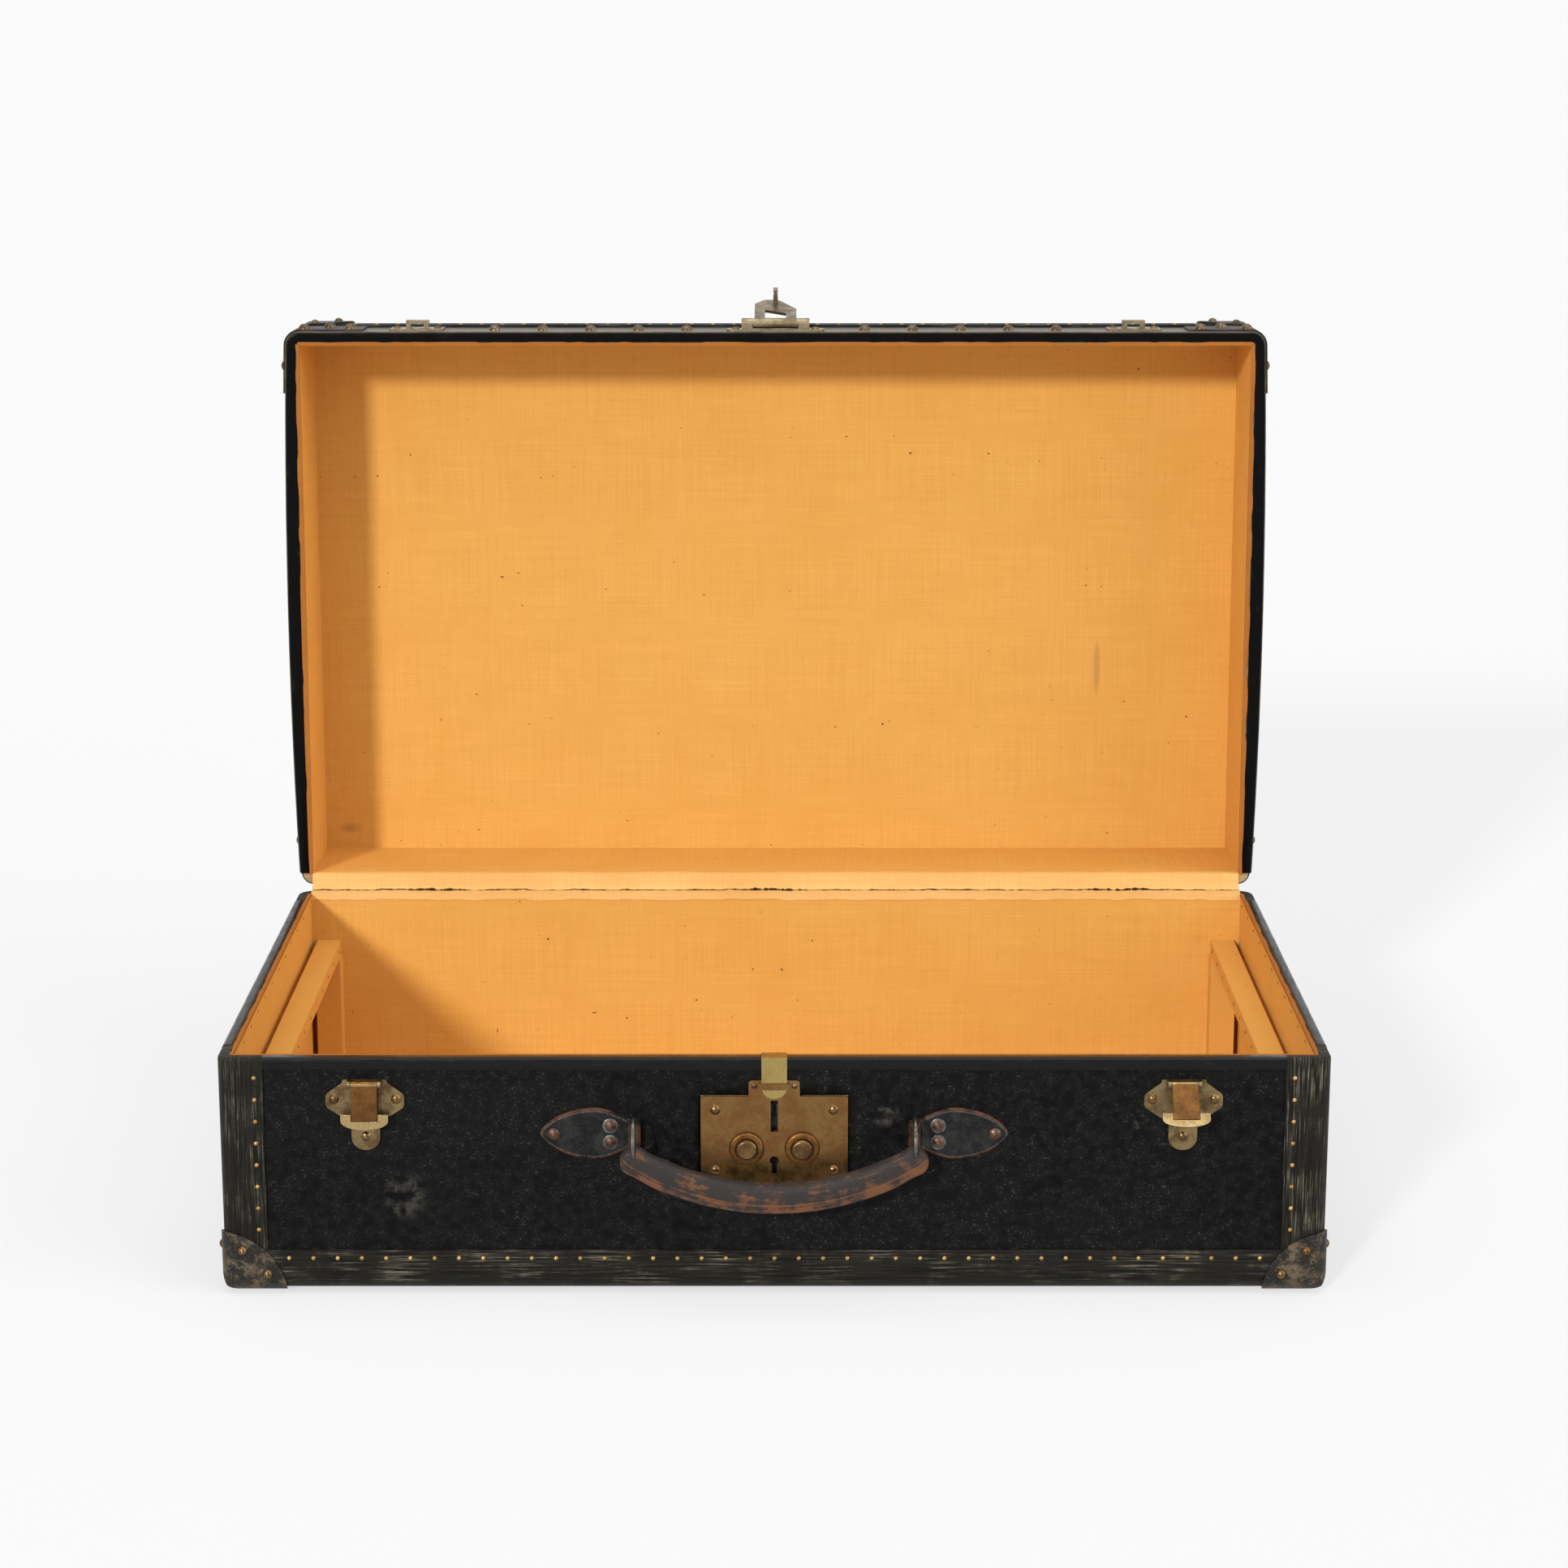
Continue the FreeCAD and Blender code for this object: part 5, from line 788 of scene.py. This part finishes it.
def make_binding(half):
    """The rolled binding on the front and sides, and round the lid's corners."""
    bulge, sunk, soft, dip = 0.25 * MM, 0.2 * MM, 0.6 * MM, 0.1 * MM
    profile = [(TRIM, BAND), (sunk, BAND), (-bulge, BAND * 0.75), (-bulge, ROLL + bulge)]
    profile += arc((ROLL, ROLL), ROLL + bulge, 190, 270, 6)
    inner = WALL - LIP
    profile += [(inner - soft, -bulge), (inner, dip), (inner, BINDING), (TRIM, BINDING)]
    soup = Soup()
    if half is LID:
        path = half.stations(3)
        for more in (half.bend(3), half.stations(0), half.bend(0), half.stations(1)):
            path += more[1:]
        soup.sweep(half, profile, path, fringe=(0, 1), seed=12)
        material = MATERIALS["lid_binding"]
    else:
        for side in (0, 1, 3):
            share = half.share_at(side, STRIP)
            soup.sweep(half, profile, half.stations(side, share, 1 - share), fringe=(0, 1), seed=side + 12)
        material = MATERIALS["binding"]
    soup.make(half.body + "_rolled_binding", half.body, "binding", (half.body + "_rim_binding",), material)


def make_tape():
    """One cloth tape over both back rims and the joint."""
    thick, step = 0.45 * MM, 4 * MM
    width = BASE.half_x - WALL
    columns = round(2 * width / step)
    y = BASE.half_y
    base_edge = Vector((0, y - TRIM, BASE.rim))
    lid_edge = OPEN @ Vector((0, y - TRIM, LID.rim))
    crease = HINGE + ((base_edge + lid_edge) / 2 - HINGE).normalized() * TAPE_CREASE
    crease.x = 0
    soup, inner = Soup(), []
    for c in range(columns + 1):
        x = -width + 2 * width * c / columns
        fray = wobble(x, 17, *TAPE_FRAY)
        lift = abs(wobble(x, 23, *TAPE_LIFT))
        path = [(y - WALL, BASE.rim - TAPE_DROP - fray), (y - WALL, BASE.rim), base_edge.yz,
                (crease.y - lift, crease.z + lift), lid_edge.yz]
        for depth in (0, TAPE_DROP + fray):
            path.append((OPEN @ Vector((0, y - WALL, LID.rim + depth))).yz)
        outer = [Vector((x, py, pz)) for py, pz in path]
        across = 0.0
        for i, point in enumerate(outer):
            ahead, behind = outer[min(i + 1, len(outer) - 1)], outer[max(i - 1, 0)]
            along = (ahead - behind).normalized()
            inward = Vector((0, -along.z, along.y))
            across += (point - behind).length
            soup.points.append(point + inward * thick)
            soup.runs.append((x, across))
            inner.append(point)
    soup.points += inner
    soup.runs *= 2
    soup.join_layers(0, columns, len(path) - 1)
    obj = soup.make("hinge_tape", None, "lining", ("base_hinge_tape", "lid_hinge_tape"), MATERIALS["tape"])
    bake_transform(obj)


# The lining


def blisters(count, seed, width, height, low, high):
    """Small raised spots: place, size and height of each."""
    chance = random.Random(seed)
    spots = []
    for _ in range(count):
        u = (chance.random() - 0.5) * width
        v = low * height + (high - low) * height * chance.random()
        spots.append((u, v, *(chance.uniform(*span) for span in BLISTER)))
    return spots


def add_panel(soup, origin, across, up, width, height, spots, raw_edge, seed):
    """A glued cloth panel: its inner face bulges a little and carries small blisters."""
    normal = across.cross(up)
    columns, rows = round(width / PANEL_STEP), round(height / PANEL_STEP)
    first = len(soup.points)
    for layer in (0, 1):
        for r in range(rows + 1):
            for c in range(columns + 1):
                u, v = (c / columns - 0.5) * width, r / rows * height
                edge = min(c, columns - c) / columns * width
                calm = min(1, edge / PANEL_CALM) * min(1, r / 3) * min(1, (rows - r) / 3)
                rise = PANEL_LIFT
                for size, wave in PANEL_WAVES:
                    rise += noise.noise(Vector((u, v, seed)) / size) * wave
                for su, sv, ru, rv, blister in spots:
                    far = ((u - su) / ru) ** 2 + ((v - sv) / rv) ** 2
                    if far < 6:
                        rise += blister * math.exp(-far)
                lift = wobble(u, seed, *RAW_EDGE) if raw_edge and r == rows else 0.0
                out = -LINING * 0.6 if layer else rise * calm
                soup.points.append(origin + across * u + up * (v + lift) + normal * out)
                soup.runs.append((u, v))
    soup.join_layers(first, rows, columns)


def make_lining(half):
    """Five cloth panels glued to the boards."""
    x, y = half.half_x - WALL, half.half_y - WALL
    deep = half.depth - WALL
    floor = half.z(deep)
    up = Vector((0, 0, -half.side))
    height = deep - LINING
    soup = Soup()
    walls = (((0, -y), (1, 0), 2 * x), ((x, 0), (0, 1), 2 * y),
             ((0, y), (-1, 0), 2 * x), ((-x, 0), (0, -1), 2 * y))
    for i, (middle, along, width) in enumerate(walls):
        across = Vector((*along, 0)) * half.side
        spots = blisters(14, 30 + i, width, height, 0.2, 0.9)
        add_panel(soup, Vector((*middle, floor)), across, up, width, height, spots, i != 2, i + 2.5)
    spots = blisters(46, 5, 2 * x, 2 * y, 0.52, 0.97) + blisters(26, 8, 2 * x, 2 * y, 0.03, 0.5)
    across, back = Vector((-half.side, 0, 0)), Vector((0, 1, 0))
    add_panel(soup, Vector((0, -y, floor)), across, back, 2 * x, 2 * y, spots, False, 8.5)
    soup.make(half.body + "_canvas_lining", half.body, "lining", (half.body + "_lining",))


def make_lips(half):
    """The lining's frayed edge, turned over the rim of the front and sides; its deep orange is painted shade, like
    the shaded inner walls.
    """
    outer, thick, down = WALL - LIP, 0.4 * MM, 2 * MM
    inner = WALL + thick
    profile = [(outer, BINDING), (outer, 0.0), (inner, 0.0), (inner, down), (WALL, down), (WALL, BINDING)]
    soup = Soup()
    for side in (0, 1, 3):
        share = half.share_at(side, WALL)
        soup.sweep(half, profile, half.stations(side, share, 1 - share), seed=side + 40, corner=WALL,
                   sway=(0, 1))
    soup.make(half.body + "_lining_edge", half.body, "lining", material=MATERIALS["painted_shade_lip_canvas"])


# Handle


def make_grip():
    """The sagging grip, thick in the middle, whose flat ends fold round the rings."""
    ring_x = JOINTS["ring_right_spin"]["pos_m"][0]
    ring_low, ring_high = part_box("handle_ring_right")
    ring_radius = (ring_high.z - ring_low.z) / 2 - WIRE
    _, swing_y, swing_z = JOINTS["handle_swing"]["pos_m"]
    seat_y = swing_y - ring_radius * math.cos(RING_LEAN)
    lowest = swing_z - ring_radius * math.sin(RING_LEAN) - GRIP_SAG
    radius = (ring_x ** 2 + GRIP_SAG ** 2) / (2 * GRIP_SAG)
    half_angle = math.asin(ring_x / radius)
    rings, sides, cap = 72, 28, 6
    taper_from, knob_from = 0.80, 0.93
    groove_wide, groove_deep, rub_step = 0.9 * MM, 0.5 * MM, 0.7 * MM
    loop = GRIP_FOLD / radius
    soup = Soup()
    for k in range(-cap, rings + cap + 1):
        share = min(max(-1 + 2 * k / rings, -1), 1)
        beyond = max(-k, k - rings, 0) / cap * math.pi / 2
        angle = half_angle * share + math.copysign(loop * math.sin(beyond), share)
        centre = Vector((radius * math.sin(angle), seat_y, lowest + radius * (1 - math.cos(angle))))
        down = Vector((math.sin(angle), 0, -math.cos(angle)))
        end = max(0.0, (abs(share) - taper_from) / (1 - taper_from))
        height = GRIP_HIGH - GRIP_TAPER * end
        width = GRIP_WIDE - GRIP_TAPER * end
        if abs(share) > knob_from:
            height += GRIP_TAPER * (abs(share) - knob_from) / (1 - knob_from)
        height *= max(math.cos(beyond), 0.12)
        width *= 0.6 + 0.4 * math.cos(beyond)
        for i, (c, s) in enumerate(circle(sides)):
            y = math.copysign(abs(c) ** 0.6, c) * width
            z = math.copysign(abs(s) ** 0.6, s) * height
            groove = math.exp(-((z + height * 0.62) / groove_wide) ** 2) * groove_deep * abs(c)
            y -= math.copysign(groove, c)
            rub = wobble(radius * angle + i * rub_step, 3, *GRIP_RUB)
            soup.points.append(centre + Vector((0, -1, 0)) * (y + rub) - down * z)
            soup.runs.append((radius * angle, i / sides * GRIP_ROUND))
    soup.join_rings(0, rings + 2 * cap + 1, sides)
    soup.make("leather_grip", "handle_grip", "handle_leather", ("handle_grip",))


def blade_width(share):
    """A chape's half width along its length: a waist, a swell and a blunt tip."""
    swell, waist = 0.42, 0.50
    if share < swell:
        return waist + (1 - waist) * math.sin(math.pi / 2 * (share / swell) ** 1.2)
    return max(1 - ((share - swell) / (1 - swell)) ** 2, 0.0004) ** 0.7


def fold(soup, x, y, z):
    """A small upright roll of leather that holds a ring."""
    first = len(soup.points)
    sides, rows, worn = 20, 8, 0.62
    for r in range(rows + 1):
        v = -1 + 2 * r / rows
        here = FOLD_RADIUS * math.sqrt(1 - 0.25 * max(0, abs(v) - 0.7) / 0.3)
        for i, (c, s) in enumerate(circle(sides)):
            soup.points.append(Vector((x + here * c, y + here * s, z + v * FOLD_HALF)))
            soup.runs.append((i / sides * 2 * math.pi * here, v * FOLD_HALF, worn))
    soup.join_rings(first, rows + 1, sides)


def make_chapes():
    """The leather tabs: flat blade with a thin rim, and the fold round the ring."""
    for side, sign in (("left", -1), ("right", 1)):
        node = f"handle_mount_{side}"
        low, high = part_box(node)
        start = JOINTS[f"ring_{side}_spin"]["pos_m"][0]
        face = high.y
        middle = (low.z + high.z) / 2
        length = abs((high.x if sign > 0 else low.x) - start)
        wide = (high.z - low.z) / 2
        rows, lanes = 44, 24
        soup = Soup()
        for layer in (0, 1):
            for r in range(rows + 1):
                share = r / rows
                across = blade_width(share) * wide
                for c in range(lanes + 1):
                    v = -1 + 2 * c / lanes
                    near_edge = min(1, (1 - abs(v)) * across / CHAPE)
                    tip = min(1, (1 - share) * length / CHAPE)
                    rise = CHAPE * (0.55 + 0.45 * math.sqrt(max(0, near_edge * tip)))
                    y = face - (rise if layer == 0 else 0)
                    soup.points.append(Vector((start + sign * length * share, y, middle + v * across)))
                    worn = 1 - min(near_edge, tip) if layer == 0 else 1
                    soup.runs.append((length * share, v * across, worn))
        soup.join_layers(0, rows, lanes)
        fold(soup, start, face - FOLD_OUT, middle)
        soup.make(f"chape_{side}", "base", "mount_leather", (node,))
        make_washers(side, start, sign, face - CHAPE, middle)


def make_washers(side, start, sign, y, middle):
    """Thin steel washers under a chape's two inner rivets."""
    radius, thick, sides = 4.9 * MM, 0.4 * MM, 32
    soup = Soup()
    for up in (RIVET_UP, -RIVET_UP):
        first = len(soup.points)
        for level, reach in ((0, radius), (thick * 0.6, radius), (thick, radius * 0.93)):
            for c, s in circle(sides):
                soup.points.append((start + sign * RIVET_IN + reach * c, y - level, middle + up + reach * s))
        soup.join_rings(first, 3, sides)
    soup.make(f"chape_washers_{side}", "base", "steel")


# Latch levers


def slab(outline, front, back, place, slope_from=0.0, slope=0.0):
    """An outline of (x, z) made into a plate; below slope_from it leans outwards."""
    points = []
    for y in (back, front):
        for x, z in outline:
            lean = max(slope_from - z, 0) * slope
            points.append(place @ Vector((x, y - lean, z)))
    count = len(outline)
    faces = [list(range(count)), list(range(2 * count - 1, count - 1, -1))]
    for i in range(count):
        j = (i + 1) % count
        faces.append((i, j, j + count, i + count))
    return points, faces


def box_outline(half_width, low, high):
    return [(-half_width, low), (half_width, low), (half_width, high), (-half_width, high)]


# A latch lever in its own frame: the flap's half width and top, the tab's ears and tip, the
# plates' front and thickness, the knuckle's radius, the gap between flap and tab, the tab's
# slope below its ears and the softened edges
FLAP, FLAP_TOP = 8.2 * MM, 0.6 * MM
EAR, EAR_TOP, EAR_LOW, TIP = 15 * MM, -19.2 * MM, -23.4 * MM, -28.8 * MM
FRONT, THICK, KNUCKLE, GAP = -2.3 * MM, 1.3 * MM, 2.3 * MM, 0.3 * MM
SLOPE = 0.25
FLAP_SOFT, TAB_SOFT = 0.3 * MM, 0.25 * MM


def make_flap(side, body, place):
    """The lever's brown flap with the knuckle at its top."""
    soup = Soup()
    soup.points, soup.faces = slab(box_outline(FLAP, EAR_LOW, FLAP_TOP), FRONT, FRONT + THICK, place)
    first, sides = len(soup.points), 20
    for x in (-FLAP, FLAP):
        for c, s in circle(sides):
            soup.points.append(place @ Vector((x, KNUCKLE * c, KNUCKLE * s)))
    soup.join_rings(first, 2, sides)
    soften(soup.make(f"lever_flap_{side}", body, "copper_brown", (body,)), FLAP_SOFT)


def make_tab(side, body, place):
    """The bright half-moon tab with two ears, and the bright line over the flap."""
    turns = [math.radians(a) for a in range(180, 361, 12)]
    moon = [(EAR * math.cos(turn), EAR_LOW + (EAR_LOW - TIP) * math.sin(turn)) for turn in turns]
    notch, floor = FLAP + GAP, EAR_LOW - GAP
    outline = [(-EAR, EAR_TOP)] + moon + [(EAR, EAR_TOP), (notch, EAR_TOP), (notch, floor),
                                          (-notch, floor), (-notch, EAR_TOP)]
    points, faces = slab(outline, FRONT, FRONT + THICK, place, EAR_LOW, SLOPE)
    line = box_outline(FLAP, FLAP_TOP - MM, FLAP_TOP + GAP)
    line_points, line_faces = slab(line, FRONT - GAP, FRONT, place)
    faces += [[n + len(points) for n in face] for face in line_faces]
    tab = piece(f"lever_tab_{side}", points + line_points, faces, body, "brass", material=MATERIALS["tab"])
    soften(tab, TAB_SOFT)


def make_levers():
    """The latch levers, drawn hanging down and turned to their place at rest."""
    for side in ("left", "right"):
        joint = JOINTS[f"latch_{side}_hinge"]
        tilt = Matrix.Rotation(math.radians(joint["range_deg"][0]), 4, "X")
        place = Matrix.Translation(Vector(joint["pos_m"])) @ tilt
        body = f"latch_{side}_lever"
        make_flap(side, body, place)
        make_tab(side, body, place)


# Materials on the CAD nodes that stay


def dress(node, material):
    obj = NODES[node]
    if not obj.material_slots:
        obj.data.materials.append(None)
    for slot in obj.material_slots:
        slot.material = material


def dress_nodes():
    slots = {row["node"]: row["material_slot"] for row in frame["record"]["subparts"]}
    for node, slot in slots.items():
        dress(node, MATERIALS[slot])
    special = {
        "bright_brass": ("rim_clip",),
        "hasp": ("hasp", "hasp_plate", "lid_catches"),
        "guard": ("lid_corner_guards",),
        "lock": ("lock_plate",),
        "copper_brown": ("lock_collars",),
        "rivet": ("lock_rivets", "latch_rivets", "hinge_rivets", "lid_hardware_rivets", "base_cap_rivets",
                  "lock_button_left", "lock_button_right"),
        "chape_rivet": ("handle_mount_rivets",),
        "stud": ("lid_studs",),
        "inside": ("lock_case", "lock_bolt", "lock_catch_left", "lock_catch_right", "lock_spring_left",
                   "lock_spring_right"),
    }
    for name, nodes in special.items():
        for node in nodes:
            dress(node, MATERIALS[name])


# Light, floor and camera


def seen_by(tree):
    """One where the camera, a gloss or a clear surface looks."""
    path = add_node(tree, "ShaderNodeLightPath")
    total = path.outputs["Is Camera Ray"]
    for name in ("Is Glossy Ray", "Is Transmission Ray"):
        node = add_node(tree, "ShaderNodeMath", {0: total, 1: path.outputs[name]})
        node.operation = "MAXIMUM"
        total = node.outputs[0]
    return total


def make_floor():
    """A pale floor that keeps the trunk's shadow and looks near white to the camera."""
    size = 60
    mesh = bpy.data.meshes.new("floor")
    corners = [(-size, -size, 0), (size, -size, 0), (size, size, 0), (-size, size, 0)]
    mesh.from_pydata(corners, [], [(0, 1, 2, 3)])
    floor = add_object("floor", mesh)
    material = bpy.data.materials.new("floor_paint")
    material.use_nodes = True
    tree = material.node_tree
    tree.nodes.clear()
    diffuse = add_node(tree, "ShaderNodeBsdfDiffuse", {"Color": (0.30, 0.30, 0.30, 1)})
    glow = add_node(tree, "ShaderNodeEmission", {"Color": (1, 1, 1, 1), "Strength": FLOOR_GLOW})
    seen = add_node(tree, "ShaderNodeAddShader", {0: diffuse.outputs[0], 1: glow.outputs[0]})
    plain = add_node(tree, "ShaderNodeBsdfDiffuse", {"Color": (0.75, 0.75, 0.75, 1)})
    mix = add_node(tree, "ShaderNodeMixShader", {0: seen_by(tree), 1: plain.outputs[0], 2: seen.outputs[0]})
    add_node(tree, "ShaderNodeOutputMaterial", {"Surface": mix.outputs[0]})
    mesh.materials.append(material)


def make_light():
    world = bpy.data.worlds.new("studio")
    bpy.context.scene.world = world
    world.use_nodes = True
    tree = world.node_tree
    background = tree.nodes["Background"]
    values = {"Value": seen_by(tree), "To Min": AMBIENT, "To Max": BACKDROP}
    level = add_node(tree, "ShaderNodeMapRange", values)
    tree.links.new(level.outputs["Result"], background.inputs["Strength"])
    background.inputs["Color"].default_value = (1, 1, 1, 1)
    for name, (strength, spread, left, up) in SUNS.items():
        light = bpy.data.lights.new(name, "SUN")
        light.energy = strength
        light.angle = math.radians(spread)
        lamp = add_object(name, light)
        left, up = math.radians(left), math.radians(up)
        toward = Vector((-math.sin(left) * math.cos(up), -math.cos(left) * math.cos(up), math.sin(up)))
        lamp.rotation_euler = toward.to_track_quat("Z", "Y").to_euler()


def make_camera():
    data = bpy.data.cameras.new("camera")
    data.sensor_width = 36
    data.lens = CAMERA_LENS
    data.clip_end = 200
    camera = add_object("camera", data)
    camera.location = CAMERA_PLACE
    camera.rotation_euler = (math.radians(90 - CAMERA_DOWN), 0, 0)
    bpy.context.scene.camera = camera


make_camera()
make_light()
make_floor()
bpy.context.scene.view_settings.view_transform = "Standard"
for half in (BASE, LID):
    make_covering(half)
    make_lining(half)
    make_lips(half)
    make_binding(half)
make_tape()
make_trims()
make_grip()
make_chapes()
make_levers()
dress_nodes()
